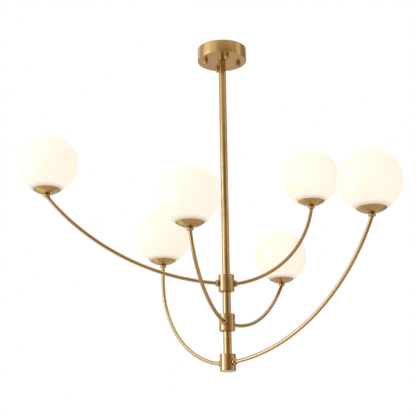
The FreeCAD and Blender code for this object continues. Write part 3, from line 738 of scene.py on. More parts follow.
@dataclass(frozen=True)
class Mottled:
    """A finish that has a grain of its own but no direction, seen on small or hidden pieces."""

    name: str
    colour: str
    other_colour: str
    roughness: float
    roughness_swing: float = 0.06
    metallic: float = 0.0
    spot: float = 4.0 * MM
    detail: float = 4.0
    relief: float = 0.01 * MM
    relief_strength: float = 0.3
    tone_range: Point = (0.35, 0.65)
    coat: float = 0.0
    sheen: float = 0.0

    def material(self) -> Material:
        """Makes the finish's material.

        Returns:
            The material.
        """
        made, tree = blank(self.name)
        place = add(tree, "ShaderNodeTexCoord").outputs["Object"]
        grain = add(
            tree,
            "ShaderNodeTexNoise",
            {"Vector": place, "Scale": 1 / self.spot, "Detail": self.detail},
        )
        low, high = self.tone_range
        share = add(
            tree, "ShaderNodeMapRange", {"Value": grain, "From Min": low, "From Max": high}
        )
        tint = add(
            tree,
            "ShaderNodeMix",
            {0: share, 6: linear(self.colour), 7: linear(self.other_colour)},
            data_type="RGBA",
        )
        gloss = add(
            tree,
            "ShaderNodeMapRange",
            {
                "Value": share,
                "To Min": self.roughness - self.roughness_swing,
                "To Max": self.roughness + self.roughness_swing,
            },
        )
        bump = add(
            tree,
            "ShaderNodeBump",
            {"Height": grain, "Strength": self.relief_strength, "Distance": self.relief},
        )
        shader = add(
            tree,
            "ShaderNodeBsdfPrincipled",
            {
                "Base Color": tint.outputs[2],
                "Metallic": self.metallic,
                "Roughness": gloss,
                "Normal": bump,
                "Coat Weight": self.coat,
                "Sheen Weight": self.sheen,
            },
        )
        add(tree, "ShaderNodeOutputMaterial", {"Surface": shader})
        return made


@dataclass(frozen=True)
class OpalGlass:
    """Blown opal glass, with a glow painted on it in place of the warm lamp's light from inside.

    Its milky body hides the lamp and glows evenly: the glow is emission painted on the glass, not
    light from the bulb. It is painted dimmer and a little warmer in the last stretch above the
    dish, a painted shade for the holder keeping the light out. The skin outside has a soft gloss.
    """

    name: str = "opal glass blown and fire polished"
    colour: str = "#F7EFE0"
    milk: str = "#F3E9D6"
    roughness: float = 0.3
    specular: float = 0.25
    ior: float = 1.5
    cloud: float = 40.0 * MM
    cloud_detail: float = 1.0
    tone_range: Point = (0.3, 0.7)
    # painted glow: emission colours and strengths that stand in for the bulb's light; the low
    # colour and share are painted shade, from hidden to shaded above the dish
    painted_glow_high: str = "#FFF2E2"
    painted_shade_glow: str = "#FFEFDE"
    strength: float = 0.63
    painted_shade_share: float = 0.35
    hidden: float = 6.0 * MM
    shaded: float = 28.0 * MM

    def material(self) -> Material:
        """Makes the finish's material.

        Returns:
            The material.
        """
        made, tree = blank(self.name)
        place = add(tree, "ShaderNodeTexCoord").outputs["Object"]
        # the gather of the blown glass is never quite even: soft clouds in the milk
        clouds = add(
            tree,
            "ShaderNodeTexNoise",
            {"Vector": place, "Scale": 1 / self.cloud, "Detail": self.cloud_detail},
        )
        low, high = self.tone_range
        share = add(
            tree, "ShaderNodeMapRange", {"Value": clouds, "From Min": low, "From Max": high}
        )
        tint = add(
            tree,
            "ShaderNodeMix",
            {0: share, 6: linear(self.milk), 7: linear(self.colour)},
            data_type="RGBA",
        )
        # painted shade: the painted glow rises from dim behind the dish's rim to full at the first
        # free stretch of the globe
        mapped = add(tree, "ShaderNodeUVMap", uv_map=UV_NAME)
        along = add(tree, "ShaderNodeSeparateXYZ", {0: mapped}).outputs["Y"]
        painted_shade_rise = add(
            tree,
            "ShaderNodeMapRange",
            {"Value": along, "From Min": self.hidden, "From Max": self.shaded},
            interpolation_type="SMOOTHSTEP",
        )
        painted_glow_tint = add(
            tree,
            "ShaderNodeMix",
            {0: painted_shade_rise, 6: linear(self.painted_shade_glow), 7: linear(self.painted_glow_high)},
            data_type="RGBA",
        )
        painted_glow_strength = add(
            tree,
            "ShaderNodeMapRange",
            {
                "Value": painted_shade_rise,
                "To Min": self.strength * self.painted_shade_share,
                "To Max": self.strength,
            },
        )
        # the painted glow and its painted shade go into the glass as emission
        shader = add(
            tree,
            "ShaderNodeBsdfPrincipled",
            {
                "Base Color": tint.outputs[2],
                "Roughness": self.roughness,
                "IOR": self.ior,
                "Specular IOR Level": self.specular,
                "Emission Color": painted_glow_tint.outputs[2],
                "Emission Strength": painted_glow_strength,
            },
        )
        add(tree, "ShaderNodeOutputMaterial", {"Surface": shader})
        return made


def once(finish: Brushed | Mottled | OpalGlass) -> Material:
    """Makes a dataclass field that is filled with a finish's material.

    Args:
        finish: the finish.

    Returns:
        The field.
    """
    return field(default_factory=finish.material)


@dataclass
class Finishes:
    """Every finish on the lamp, made once, and the loaded frame whose nodes wear them."""

    frame: dict
    # brass brushed on a wheel: fine rings give each turned piece a satin sheen
    brass: Material = once(Brushed("satin brass plate, wheel brushed"))
    # the tubes are brushed on a belt: glossier, with a longer drift along them
    tube_brass: Material = once(
        Brushed("satin brass tube, belt brushed", roughness=0.19, stretch=0.7, drift=7.0 * MM)
    )
    # plated nut with a fine turned face, cooler and paler than the brass round it
    nickel: Material = once(
        Brushed("satin nickel plate, turned", "#CFCDC8", "#B9B6B0", 0.3, grain=0.5 * MM)
    )
    # zinc plate breaks into small grey spangles with a blue cast
    zinc: Material = once(
        Mottled("zinc plate, passivated", "#AEB4B8", "#C9CCCB", 0.34, metallic=1.0, spot=5.0 * MM)
    )
    # brass as the lathe leaves it, on the hubs' floor plates: a duller, mottled gold
    inner_brass: Material = once(
        Mottled("brass plate, turned", "#BF9A5B", "#C8A465", 0.3, metallic=1.0, spot=6.0 * MM)
    )
    # steatite: dense cream ceramic with a thin glaze
    steatite: Material = once(
        Mottled("steatite, glazed", "#E9E4D8", "#F4F0E6", 0.22, spot=3.0 * MM, coat=0.5)
    )
    # moulded silicone: milky white, soft and dry to the eye
    silicone: Material = once(
        Mottled("silicone rubber, moulded", "#DCDAD2", "#E8E6DF", 0.55, spot=2.5 * MM, sheen=0.2)
    )
    # polyamide with the faint orange-peel of its mould
    polyamide: Material = once(
        Mottled("polyamide, moulded", "#E6E3DA", "#F1EFE8", 0.42, spot=1.5 * MM)
    )
    # PVC sleeve, slightly uneven from its die
    sleeve: Material = once(
        Mottled("PVC sleeve, extruded", "#CFC8BA", "#DBD5C9", 0.4, spot=3.0 * MM)
    )
    # opal glass: a milky ball with a glow painted on it all over, in place of the bulb's light
    opal: Material = once(OpalGlass())
    # the lamp's capsule, etched to a warm matt white
    frosted: Material = once(
        Mottled("borosilicate glass, frosted", "#FFF3DC", "#FFE9C4", 0.5, spot=5.0 * MM)
    )

    def dress(self, material: Material, *nodes: str) -> None:
        """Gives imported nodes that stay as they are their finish.

        Args:
            material: the finish.
            nodes: the nodes' names.
        """
        for name in nodes:
            mesh = self.frame["nodes"][name].data
            mesh.materials.clear()
            mesh.materials.append(material)
            LOG.info("node %s keeps its shape, in %s", name, material.name)


# ---- canopy and stem -----------------------------------------------------------------------


@dataclass
class Canopy:
    """The drum at the ceiling, its plate and what holds them together."""

    radius: float = 65.0 * MM
    height: float = 34.0 * MM
    wall: float = 1.2 * MM
    edge: float = 2.0 * MM
    edge_steps: int = 8
    inner_edge_steps: int = 4
    bore: float = 6.05 * MM
    easing: float = 0.25 * MM
    sides: int = 144
    nut_circle: float = 45.0 * MM
    nut_bearing: float = 16.0
    nut_count: int = 4
    nut_height: float = 12.5 * MM
    nut_ball: float = 6.25 * MM
    nut_flange: float = 6.5 * MM
    nut_flange_thickness: float = 3.0 * MM
    nut_easing: float = 0.3 * MM
    nut_steps: int = 20
    nut_sides: int = 40

    def drum(self, finishes: Finishes) -> None:
        """Spins the drum, rounded at its lower rim and eased at its mouth.

        Args:
            finishes: the lamp's finishes.
        """
        low, inner = -self.height, self.edge - self.wall
        heart = (self.radius - self.edge, low + self.edge)
        outline = [(self.bore, low)]
        outline += arc(heart, self.edge, -90, 0, self.edge_steps)
        outline += [(self.radius, 0.0), (self.radius - self.wall, 0.0)]
        outline += arc(heart, inner, 0, -90, self.inner_edge_steps)
        outline += [(self.bore, low + self.wall)]
        mesh = lathe("canopy_drum", eased(outline, self.easing), self.sides)
        settle("canopy_drum", mesh, "stem", "satin_brass", finishes.brass, "canopy")

    def nuts(self, finishes: Finishes) -> None:
        """Turns the ball nuts that hold the drum up, all from one turned nut.

        Args:
            finishes: the lamp's finishes.
        """
        low = -self.height
        seat = low - self.nut_flange_thickness
        middle = low - self.nut_height + self.nut_ball
        meeting = math.degrees(math.asin((seat - middle) / self.nut_ball))
        outline = arc((0, middle), self.nut_ball, -90, meeting, self.nut_steps)
        outline[0] = (0.0, outline[0][1])
        outline += [(self.nut_flange, seat), (self.nut_flange, low), (0.0, low)]
        mesh = repeated(
            "canopy_ball_nuts",
            Rule.RING,
            lathe("nut", eased(outline, self.nut_easing), self.nut_sides),
            Finish=finishes.brass,
            Count=self.nut_count,
            Circle_radius=self.nut_circle,
            First_bearing=math.radians(self.nut_bearing),
            Height=0.0,
        )
        settle("canopy_ball_nuts", mesh, "stem", "satin_brass", finishes.brass, "ball_nuts")

    def build(self, finishes: Finishes) -> None:
        """Makes the drum and the nuts, and dresses what is inside.

        Args:
            finishes: the lamp's finishes.
        """
        self.drum(finishes)
        self.nuts(finishes)
        finishes.dress(
            finishes.zinc, "ceiling_plate", "canopy_studs", "canopy_washer", "canopy_locknut"
        )
        finishes.dress(finishes.polyamide, "terminal_block")


@dataclass
class Stem:
    """The sleeves round the centre tube, from the canopy down to the lowest hub."""

    nodes: tuple[str, ...] = ("stem_tube", "upper_spacer", "lower_spacer")
    walls: tuple[float, ...] = (1.2 * MM, 1.5 * MM, 1.5 * MM)
    easing: float = 0.3 * MM
    sides: int = 72

    def build(self, finishes: Finishes) -> None:
        """Makes the three sleeves with eased ends, and dresses the tube inside.

        Args:
            finishes: the lamp's finishes.
        """
        for node, wall in zip(self.nodes, self.walls):
            low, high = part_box(node)
            radius = (high.y - low.y) / 2
            outline = [(radius - wall, low.z), (radius, low.z)]
            outline += [(radius, high.z), (radius - wall, high.z)]
            name = node + "_sleeve"
            mesh = lathe(name, eased(outline, self.easing), self.sides)
            settle(name, mesh, "stem", "satin_brass", finishes.tube_brass, node)
        finishes.dress(finishes.zinc, "centre_tube")
        finishes.dress(finishes.sleeve, "supply_harness")
        finishes.dress(finishes.polyamide, "lead_splices")


@dataclass
class EndNut:
    """The round nut that closes the lowest hub."""

    radius: float = 17.2 * MM
    thickness: float = 4.6 * MM
    skin: float = 1.2 * MM
    bore: float = 6.05 * MM
    easing: float = 0.5 * MM
    sides: int = 72

    def build(self, finishes: Finishes) -> None:
        """Makes the nut with a bevelled face.

        Args:
            finishes: the lamp's finishes.
        """
        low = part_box("end_nut")[0].z
        floor, top = low + self.skin, low + self.thickness
        outline = [(0.0, low), (self.radius, low), (self.radius, top)]
        outline += [(self.bore, top), (self.bore, floor), (0.0, floor)]
        mesh = lathe("end_nut_disc", eased(outline, self.easing), self.sides)
        settle("end_nut_disc", mesh, "stem", "pale_steel", finishes.nickel, "end_nut")


# ---- lamps ---------------------------------------------------------------------------------


@dataclass
class Lamp:
    """What stands on an arm's end, with heights above that end."""

    collar_radius: float = 8.75 * MM
    collar_round: float = 4.6 * MM
    collar_back: float = 3.0 * MM
    collar_front: float = 4.2 * MM
    hub_collar_front: float = 3.2 * MM
    collar_neck: float = 5.25 * MM
    collar_neck_length: float = 0.8 * MM
    collar_middle: float = 2.2 * MM
    collar_overlap: float = 0.05 * MM
    collar_easing: float = 0.3 * MM
    collar_steps: int = 18
    collar_sides: int = 56
    underside: float = 6.0 * MM
    wall: float = 1.2 * MM
    dish_radius: float = 35.0 * MM
    dish_foot: float = 6.0 * MM
    rim: float = 1.0 * MM
    ledge: float = 24.5 * MM
    holder_flat: float = 14.5 * MM
    curve: float = 58.0 * MM
    hole: float = 4.05 * MM
    dish_easing: float = 0.22 * MM
    dish_sides: int = 96
    outer_steps: int = 28
    rim_steps: int = 10
    well_steps: int = 6
    screw_radius: float = 20.5 * MM
    screw_wall: float = 1.5 * MM
    screw_height: float = 9.0 * MM
    thread_start: float = 0.3 * MM
    thread_stop: float = 0.2 * MM
    globe_radius: float = 75.0 * MM
    globe_wall: float = 2.5 * MM
    foot: float = 24.0 * MM
    foot_wall: float = 3.2 * MM
    foot_height: float = 10.0 * MM
    globe_easing: float = 0.6 * MM
    globe_steps: int = 84
    inner_steps: int = 56
    upright_steps: int = 36
    globe_sides: int = 112
    rim_gap: float = 0.5 * MM
    seal: float = 1.5 * MM

    @property
    def heart(self) -> float:
        """Height of the middle of the bowl's curve, on the lamp's axis."""
        return self.underside + math.sqrt(self.curve**2 - self.dish_foot**2)

    @property
    def rim_level(self) -> float:
        """Height of the dish's rim."""
        return self.heart - math.sqrt(self.curve**2 - self.dish_radius**2)

    @property
    def globe_middle(self) -> float:
        """Height of the globe's middle above the arm's end."""
        reach = self.globe_radius + self.rim_gap
        return self.rim_level + math.sqrt(reach**2 - (self.dish_radius - self.rim) ** 2)

    @property
    def seal_seat(self) -> float:
        """Height of the ledge in the dish, under the seal."""
        return self.globe_middle - math.sqrt(self.globe_radius**2 - self.foot**2) - self.seal

    def inside(self, distance: float) -> float:
        """Height of the bowl's inner face at a distance from the axis."""
        return self.heart - math.sqrt((self.curve - self.wall) ** 2 - distance**2)

    def upright(self, distance: float, start: float, rise: float) -> list[Point]:
        """An upright stretch of an outline, in the steps that a thread needs.

        Args:
            distance: its distance from the axis.
            start: the height that it starts from, itself left out.
            rise: how far it goes up, or down if negative.

        Returns:
            Its points.
        """
        steps = self.upright_steps
        return [(distance, start + rise * step / steps) for step in range(1, steps + 1)]

    def bead(self, name: str, front: float) -> Mesh:
        """A bead collar with flats at both ends and a short neck above.

        Args:
            name: the mesh's name.
            front: from the bead's widest ring to its lower face.

        Returns:
            The mesh, in the place that a collar under a dish has.
        """
        heart = (self.collar_radius - self.collar_round, self.collar_middle)
        first = -math.degrees(math.asin(front / self.collar_round))
        last = math.degrees(math.asin(self.collar_back / self.collar_round))
        top = self.underside + self.collar_overlap
        outline = [(0.0, self.collar_middle - front)]
        outline += arc(heart, self.collar_round, first, last, self.collar_steps)
        outline += [(self.collar_neck, self.collar_middle + self.collar_back)]
        outline += [(self.collar_neck, top), (0.0, top)]
        return lathe(name, eased(outline, self.collar_easing), self.collar_sides)

    def flank(self, first: Point, last: Point, radius: float, steps: int) -> list[Point]:
        """A stretch of the bowl's section between two points, bulging outwards and down.

        Args:
            first: its inner end.
            last: its outer end.
            radius: its curve.
            steps: how many chords it has.

        Returns:
            Its points, both ends included.
        """
        start, finish = Vector(first), Vector(last)
        chord = finish - start
        rise = math.sqrt(radius**2 - (chord.length / 2) ** 2)
        centre = (start + finish) / 2 + Vector((-chord.y, chord.x)).normalized() * rise
        angles = [math.degrees(math.atan2(p.y - centre.y, p.x - centre.x)) for p in (start, finish)]
        return arc((centre.x, centre.y), radius, angles[0], angles[1], steps)

    def dish(self) -> Mesh:
        """Turns the bowl, with the ledge under the seal and the threaded ring inside it.

        Returns:
            The mesh.
        """
        seat, level = self.seal_seat, self.rim_level
        top = seat + self.screw_height
        curve = self.curve - self.wall
        foot, edge = (self.dish_foot, self.underside), (self.dish_radius, level)
        ledge, rim = (self.ledge, seat), (self.dish_radius - self.rim, level)
        ring_inner = self.screw_radius - self.screw_wall
        flat = (self.holder_flat, self.inside(self.holder_flat))
        well = (ring_inner, self.inside(ring_inner))
        outline = [(self.hole, self.underside)]
        outline += self.flank(foot, edge, self.curve, self.outer_steps)
        outline += self.flank(ledge, rim, curve, self.rim_steps)[::-1]
        outline += [(self.screw_radius, seat)]
        outline += self.upright(self.screw_radius, seat, self.screw_height)
        outline += [(ring_inner, top)]
        outline += self.flank(flat, well, curve, self.well_steps)[::-1]
        outline += [(self.hole, flat[1])]
        thread = Thread(seat + self.thread_start, top - self.thread_stop, self.screw_radius)
        return lathe("dish", eased(outline, self.dish_easing), self.dish_sides, thread)

    def globe(self) -> Mesh:
        """Blows the globe about its own middle, its foot rolled in and turned up.

        Returns:
            The mesh.
        """
        outer, inside = self.globe_radius, self.globe_radius - self.globe_wall
        low = -math.sqrt(outer**2 - self.foot**2)
        first = math.degrees(math.asin(low / outer))
        last = -math.degrees(math.acos(self.foot / inside))
        bore, top = self.foot - self.foot_wall, low + self.foot_height
        outline = arc((0, 0), outer, first, 90, self.globe_steps)
        outline[-1] = (0.0, outer)
        inner = arc((0, 0), inside, 90, last, self.inner_steps)
        inner[0] = (0.0, inside)
        outline += inner + [(self.foot, top), (bore, top)]
        outline += self.upright(bore, top, -self.foot_height)
        return lathe("globe", eased(outline, self.globe_easing), self.globe_sides)


@dataclass
class ArmPath:
    """The line that a bent arm follows in its upright plane."""

    reach: float
    exit: float
    rise: float
    start: float = 12.6 * MM
    seat: float = 20.8 * MM
    knuckle: float = 60.0 * MM

    def steps(self) -> list[tuple[float, float]]:
        """Splits the line into straight stretches and bends.

        Returns:
            Each stretch as its length and its turn in degrees, a straight one turning by 0.
        """
        leaving = math.radians(self.exit)
        across = self.reach - self.seat - self.knuckle * math.sin(leaving)
        upward = self.rise - self.knuckle * (1 - math.cos(leaving))
        ending = 2 * math.atan2(upward, across) - leaving
        first = [(self.seat - self.start, 0.0), (self.knuckle * leaving, self.exit)]
        if ending < math.pi / 2:
            turn = ending - leaving
            radius = math.hypot(across, upward) / (2 * math.sin(turn / 2))
            return first + [(radius * turn, math.degrees(turn))]
        radius = across / (1 - math.sin(leaving))
        turn = math.pi / 2 - leaving
        straight = upward - radius * math.cos(leaving)
        return first + [(radius * turn, math.degrees(turn)), (straight, 0.0)]

    def line(self, chord: float = 1.2) -> list[Vector]:
        """Points along the line, close enough together that no bend shows a corner.

        Args:
            chord: the most that the line turns from one point to the next, in degrees.

        Returns:
            The points in the XZ plane.
        """
        here, heading = Vector((self.start, 0, 0)), 0.0
        points = [here.copy()]
        for length, turn in self.steps():
            count = max(1, math.ceil(turn / chord))
            bend = math.radians(turn) / count
            short = length / count
            if bend:
                short *= math.sin(bend / 2) / (bend / 2)
            for _ in range(count):
                heading += bend / 2
                here = here + Vector((math.cos(heading), 0, math.sin(heading))) * short
                heading += bend / 2
                points.append(here.copy())
        return points


class Side(Enum):
    """The two arms of a hub, by their length."""

    LONG = "long"
    SHORT = "short"


@dataclass
class Hub:
    """One hub with its two arms and their lamps."""

    name: str
    level: float
    bearing: float
    rise: float
    radius: float = 20.0 * MM
    height: float = 42.0 * MM
    wall: float = 2.5 * MM
    cap: float = 3.5 * MM
    bevel: float = 0.7 * MM
    bore: float = 6.05 * MM
    easing: float = 0.25 * MM
    sides: int = 96
    long_reach: float = 454.0 * MM
    short_reach: float = 232.0 * MM
    long_exit: float = 2.3
    short_exit: float = 11.0
    tube_radius: float = 4.5 * MM
    tube_sides: int = 36
    lamp: Lamp = field(default_factory=Lamp)

    @property
    def body(self) -> str:
        """The body that the hub and its arms ride on."""
        return "hub_" + self.name

    def shell(self, finishes: Finishes) -> None:
        """Turns the cup, bevelled at both outer edges.

        Args:
            finishes: the lamp's finishes.
        """
        half, inside = self.height / 2, self.radius - self.wall
        slope, under = self.radius - self.bevel, half - self.cap
        outline = [(self.bore, under), (inside, under), (inside, -half), (slope, -half)]
        outline += [(self.radius, -half + self.bevel), (self.radius, half - self.bevel)]
        outline += [(slope, half), (self.bore, half)]
        name = self.body + "_cup"
        mesh = lathe(name, eased(outline, self.easing), self.sides)
        moved(mesh, (0, 0, self.level))
        settle(name, mesh, self.body, "satin_brass", finishes.brass, self.body + "_shell")

    def collars(self, finishes: Finishes) -> None:
        """Sets the bead collars on the hub, lying along the arms.

        Args:
            finishes: the lamp's finishes.
        """
        lamp = self.lamp
        seat = self.radius + lamp.collar_neck_length
        lift = seat + lamp.collar_back + lamp.collar_middle
        single = lamp.bead("hub_collar", lamp.hub_collar_front)
        single.transform(Matrix.Translation((0, 0, -lift)))
        single.transform(Matrix.Rotation(math.radians(-90), 4, "Y"))
        name = self.body + "_bead_collars"
        mesh = repeated(
            name,
            Rule.RING,
            single,
            Finish=finishes.brass,
            Count=2,
            Circle_radius=0.0,
            First_bearing=math.radians(self.bearing),
            Height=self.level,
        )
        settle(name, mesh, self.body, "satin_brass", finishes.brass, self.body + "_arm_collars")

    def at_lamps(self, name: str, single: Mesh, finishes: Finishes, node: str) -> None:
        """Sets one made piece out at both lamps of the hub.

        Args:
            name: the new piece's name, after the hub's own.
            single: the piece, made about the arm's end.
            finishes: the lamp's finishes.
            node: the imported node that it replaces, after the hub's name.
        """
        name, node = self.body + name, self.body + node
        mesh = repeated(
            name,
            Rule.LAMPS,
            single,
            Finish=finishes.brass,
            Long_reach=self.long_reach,
            Short_reach=self.short_reach,
            Rise=self.rise,
            Level=self.level,
            Bearing=math.radians(self.bearing),
        )
        settle(name, mesh, self.body, "satin_brass", finishes.brass, node)

    def arm(self, side: Side, finishes: Finishes) -> None:
        """Bends one arm.

        Args:
            side: which of the two it is.
            finishes: the lamp's finishes.
        """
        if side is Side.LONG:
            path = ArmPath(self.long_reach, self.long_exit, self.rise)
            bearing = self.bearing
        else:
            path = ArmPath(self.short_reach, self.short_exit, self.rise)
            bearing = self.bearing + 180
        points = path.line()
        line = bpy.data.meshes.new("arm_line")
        line.from_pydata(points, [(index, index + 1) for index in range(len(points) - 1)], [])
        node = f"arm_{self.name}_{side.value}"
        mesh = grown(
            node + "_tube",
            Rule.TUBE,
            moved(line, (0, 0, self.level), bearing),
            Finish=finishes.tube_brass,
            Radius=self.tube_radius,
            Sides=self.tube_sides,
        )
        settle(node + "_tube", mesh, self.body, "satin_brass", finishes.tube_brass, node)

    def globe(self, side: Side, finishes: Finishes) -> None:
        """Stands one opal globe in its dish.

        Args:
            side: which arm it stands on.
            finishes: the lamp's finishes.
        """
        node = f"globe_{self.name}_{side.value}"
        reach = self.long_reach if side is Side.LONG else -self.short_reach
        turn = math.radians(self.bearing)
        height = self.level + self.rise + self.lamp.globe_middle
        spot = (reach * math.cos(turn), reach * math.sin(turn), height)
        mesh = moved(self.lamp.globe(), spot)
        settle(node + "_glass", mesh, node, "opal_glass", finishes.opal, node)

    def build(self, finishes: Finishes) -> None:
        """Makes the hub with its arms and lamps, and dresses what is inside.

        Args:
            finishes: the lamp's finishes.
        """
        body, lamp = self.body, self.lamp
        self.shell(finishes)
        self.collars(finishes)
        for side in Side:
            self.arm(side, finishes)
            self.globe(side, finishes)
            finishes.dress(finishes.silicone, f"seal_{self.name}_{side.value}")
        bead = lamp.bead("lamp_collar", lamp.collar_front)
        self.at_lamps("_cup_collars", bead, finishes, "_lamp_collars")
        self.at_lamps("_spun_dishes", lamp.dish(), finishes, "_dishes")
        finishes.dress(finishes.inner_brass, body + "_floor")
        finishes.dress(finishes.zinc, body + "_arm_nuts")
        finishes.dress(finishes.sleeve, body + "_leads")
        finishes.dress(finishes.steatite, body + "_lampholders")
        finishes.dress(finishes.frosted, body + "_bulbs")


# ---- stage ---------------------------------------------------------------------------------


@dataclass(frozen=True)
class Card:
    """A card that only glossy metal sees, as in a product studio.

    Its bearing counts from the camera to the right, in degrees. Its shade is linear light, in
    which 1 is the white surround, and a pitch of 90 degrees lays it flat.
    """

    name: str
    bearing: float
    far: float
    size: tuple[float, float]
    shade: tuple[float, float, float]
    level: float = 0.0
    pitch: float = 0.0

    def build(self) -> None:
        """Stands the card round the lamp, facing it."""
        turn, lift = math.radians(self.bearing), math.radians(self.pitch)
        outwards = Vector((math.sin(turn), -math.cos(turn), 0))
        facing = Vector((0, 0, math.sin(lift))) - outwards * math.cos(lift)
        mesh = sheet(self.name, *self.size)
        mesh.transform(facing.to_track_quat("Z", "Y").to_matrix().to_4x4())
        mesh.transform(Matrix.Translation(outwards * self.far + Vector((0, 0, self.level))))
        made, tree = blank(self.name + " card")
        glow = add(tree, "ShaderNodeEmission", {"Color": (*self.shade, 1.0)})
        add(tree, "ShaderNodeOutputMaterial", {"Surface": glow})
        mesh.materials.append(made)
        card = stand(self.name, mesh)
        card.visible_camera = False
        card.visible_diffuse = False
        card.visible_transmission = False
        card.visible_shadow = False


@dataclass(frozen=True)
class Softbox:
    """A square soft light, its side in metres and its power in watts, aimed at the lamp."""

    name: str
    spot: Spot
    size: float
    power: float
    colour: str
    target: Spot = (0.0, 0.0, -0.55)

    def build(self) -> None:
        """Hangs the light up where no metal mirrors it."""
        data = bpy.data.lights.new(self.name, "AREA")
        data.shape = "SQUARE"
        data.size = self.size
        data.energy = self.power
        data.color = linear(self.colour)[:3]
        light = bpy.data.objects.new(self.name, data)
        aim = Vector(self.target) - Vector(self.spot)
        light.location = self.spot
        light.visible_glossy = False
        light.rotation_mode = "QUATERNION"
        light.rotation_quaternion = aim.to_track_quat("-Z", "Y")
        bpy.context.scene.collection.objects.link(light)


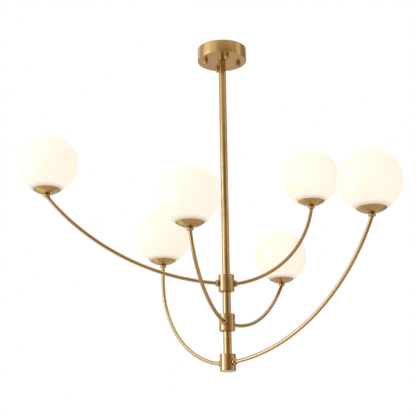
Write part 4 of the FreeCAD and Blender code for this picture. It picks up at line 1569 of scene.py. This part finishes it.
@dataclass
class Stage:
    """Camera, soft lights, pale floor and white surround."""

    lens: float = 90.89
    sensor: float = 36.0
    clip: tuple[float, float] = (0.05, 100.0)
    camera_spot: Spot = (0.0, -2.5928, -1.2034)
    pitch: float = 16.36
    roll: float = -0.85
    yaw: float = 0.96
    floor_level: float = -2.4
    floor_size: float = 30.0
    floor_paint: str = "#F4F3F1"
    floor_roughness: float = 0.9
    floor_lift: float = 0.32
    ambient: float = 0.30
    lights: tuple[Softbox, ...] = (
        Softbox("Key softbox", (-2.6, -1.6, 0.5), 2.6, 26.0, "#FFFFFF"),
        Softbox("Fill softbox", (2.3, -2.2, -0.4), 2.4, 10.0, "#FFFBF4"),
    )
    cards: tuple[Card, ...] = (
        Card("Wide flag", 12.0, 3.4, (5.2, 5.6), (0.60, 0.50, 0.40)),
        Card("Dark flag", 15.0, 3.2, (3.2, 4.0), (0.24, 0.17, 0.15), -0.7),
        Card("Key board", -72.0, 3.2, (1.9, 3.4), (2.3, 3.0, 4.8), -0.8),
        Card("Upper key board", -72.0, 3.2, (2.1, 1.8), (1.35, 1.35, 1.5), 1.8),
        Card("Left flag", -115.0, 3.2, (1.8, 5.0), (0.70, 0.62, 0.54)),
        Card("Right flag", 62.0, 3.3, (1.4, 5.0), (0.55, 0.46, 0.37)),
        Card("Right edge flag", 125.0, 3.2, (3.2, 5.0), (0.38, 0.30, 0.23)),
        Card("Rear flag", 180.0, 3.6, (4.4, 6.0), (0.70, 0.62, 0.56)),
        Card("Back flag", 180.0, 3.5, (4.4, 1.1), (0.42, 0.35, 0.29), -0.45),
        Card("Upper back flag", 180.0, 3.5, (4.4, 1.5), (0.20, 0.145, 0.10), 0.85),
        Card("Low flag", 0.0, 0.0, (5.0, 5.0), (0.68, 0.60, 0.54), -2.3, 90.0),
        Card("Low left board", -130.0, 2.2, (1.6, 1.6), (1.2, 1.12, 0.98), -2.2, 90.0),
    )

    def camera(self) -> None:
        """Stands the camera where the photograph was taken from."""
        pitch, roll, yaw = (math.radians(angle) for angle in (self.pitch, self.roll, self.yaw))
        right = Vector((math.cos(yaw), math.sin(yaw), 0))
        ahead = Vector((-math.sin(yaw), math.cos(yaw), 0))
        up = Vector((0, 0, 1))
        forward = math.cos(pitch) * ahead + math.sin(pitch) * up
        upward = math.cos(pitch) * up - math.sin(pitch) * ahead
        side = math.cos(roll) * right + math.sin(roll) * upward
        top = math.cos(roll) * upward - math.sin(roll) * right
        data = bpy.data.cameras.new("Camera")
        data.lens = self.lens
        data.sensor_width = self.sensor
        data.clip_start, data.clip_end = self.clip
        camera = bpy.data.objects.new("Camera", data)
        axes = Matrix((side, top, -forward)).transposed().to_4x4()
        camera.matrix_world = Matrix.Translation(self.camera_spot) @ axes
        bpy.context.scene.collection.objects.link(camera)
        bpy.context.scene.camera = camera

    def world(self) -> None:
        """White where it is seen, mirrored or seen through, and a plain level as light."""
        world = bpy.data.worlds.new("White surround")
        bpy.context.scene.world = world
        world.use_nodes = True
        tree = world.node_tree
        tree.nodes.clear()
        shown = self.seen(tree, "Camera", "Glossy", "Transmission")
        level = add(
            tree, "ShaderNodeMapRange", {"Value": shown, "To Min": self.ambient, "To Max": 1.0}
        )
        sky = add(tree, "ShaderNodeBackground", {"Color": linear("#FFFFFF"), "Strength": level})
        add(tree, "ShaderNodeOutputWorld", {"Surface": sky})

    def seen(self, tree: Tree, *kinds: str) -> Socket | Node:
        """Tells the rays that look at something from those that only light it.

        Args:
            tree: the tree of the world or of a material.
            kinds: the kinds of ray that count.

        Returns:
            What gives 1 for these rays and 0 for all others.
        """
        path = add(tree, "ShaderNodeLightPath")
        result, *others = [path.outputs[f"Is {kind} Ray"] for kind in kinds]
        for other in others:
            result = add(tree, "ShaderNodeMath", {0: result, 1: other}, operation="MAXIMUM")
        return result

    def floor(self) -> None:
        """A pale floor far below, which keeps the lamp's shadow and is clear from underneath."""
        mesh = sheet("floor", self.floor_size, self.floor_size)
        mesh.transform(Matrix.Translation((0, 0, self.floor_level)))
        # roller paint: quite matt, lifted towards the white of the surround where it is seen
        made, tree = blank("matt white paint, rolled")
        seen = self.seen(tree, "Camera", "Glossy")
        lift = add(
            tree, "ShaderNodeMapRange", {"Value": seen, "To Min": 0.0, "To Max": self.floor_lift}
        )
        paint = add(
            tree,
            "ShaderNodeBsdfPrincipled",
            {
                "Base Color": linear(self.floor_paint),
                "Roughness": self.floor_roughness,
                "Emission Color": linear("#FFFFFF"),
                "Emission Strength": lift,
            },
        )
        clear = add(tree, "ShaderNodeBsdfTransparent")
        below = add(tree, "ShaderNodeNewGeometry").outputs["Backfacing"]
        choice = add(tree, "ShaderNodeMixShader", {0: below, 1: paint, 2: clear})
        add(tree, "ShaderNodeOutputMaterial", {"Surface": choice})
        mesh.materials.append(made)
        stand("floor", mesh)

    def build(self) -> None:
        """Sets the whole stage."""
        self.camera()
        self.world()
        self.floor()
        for thing in (*self.lights, *self.cards):
            thing.build()
        bpy.context.scene.view_settings.view_transform = "Standard"


def main() -> None:
    """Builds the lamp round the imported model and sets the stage."""
    logging.basicConfig(level=logging.INFO, format="%(name)s: %(message)s")
    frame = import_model()
    Stage().build()
    finishes = Finishes(frame)
    Canopy().build(finishes)
    Stem().build(finishes)
    EndNut().build(finishes)
    hubs = [
        Hub("top", -641.0 * MM, 192.6, 208.1 * MM),
        Hub("middle", -741.0 * MM, 69.1, 183.1 * MM),
        Hub("bottom", -841.0 * MM, -43.2, 282.1 * MM),
    ]
    for hub in hubs:
        hub.build(finishes)


if __name__ == "__main__":
    main()
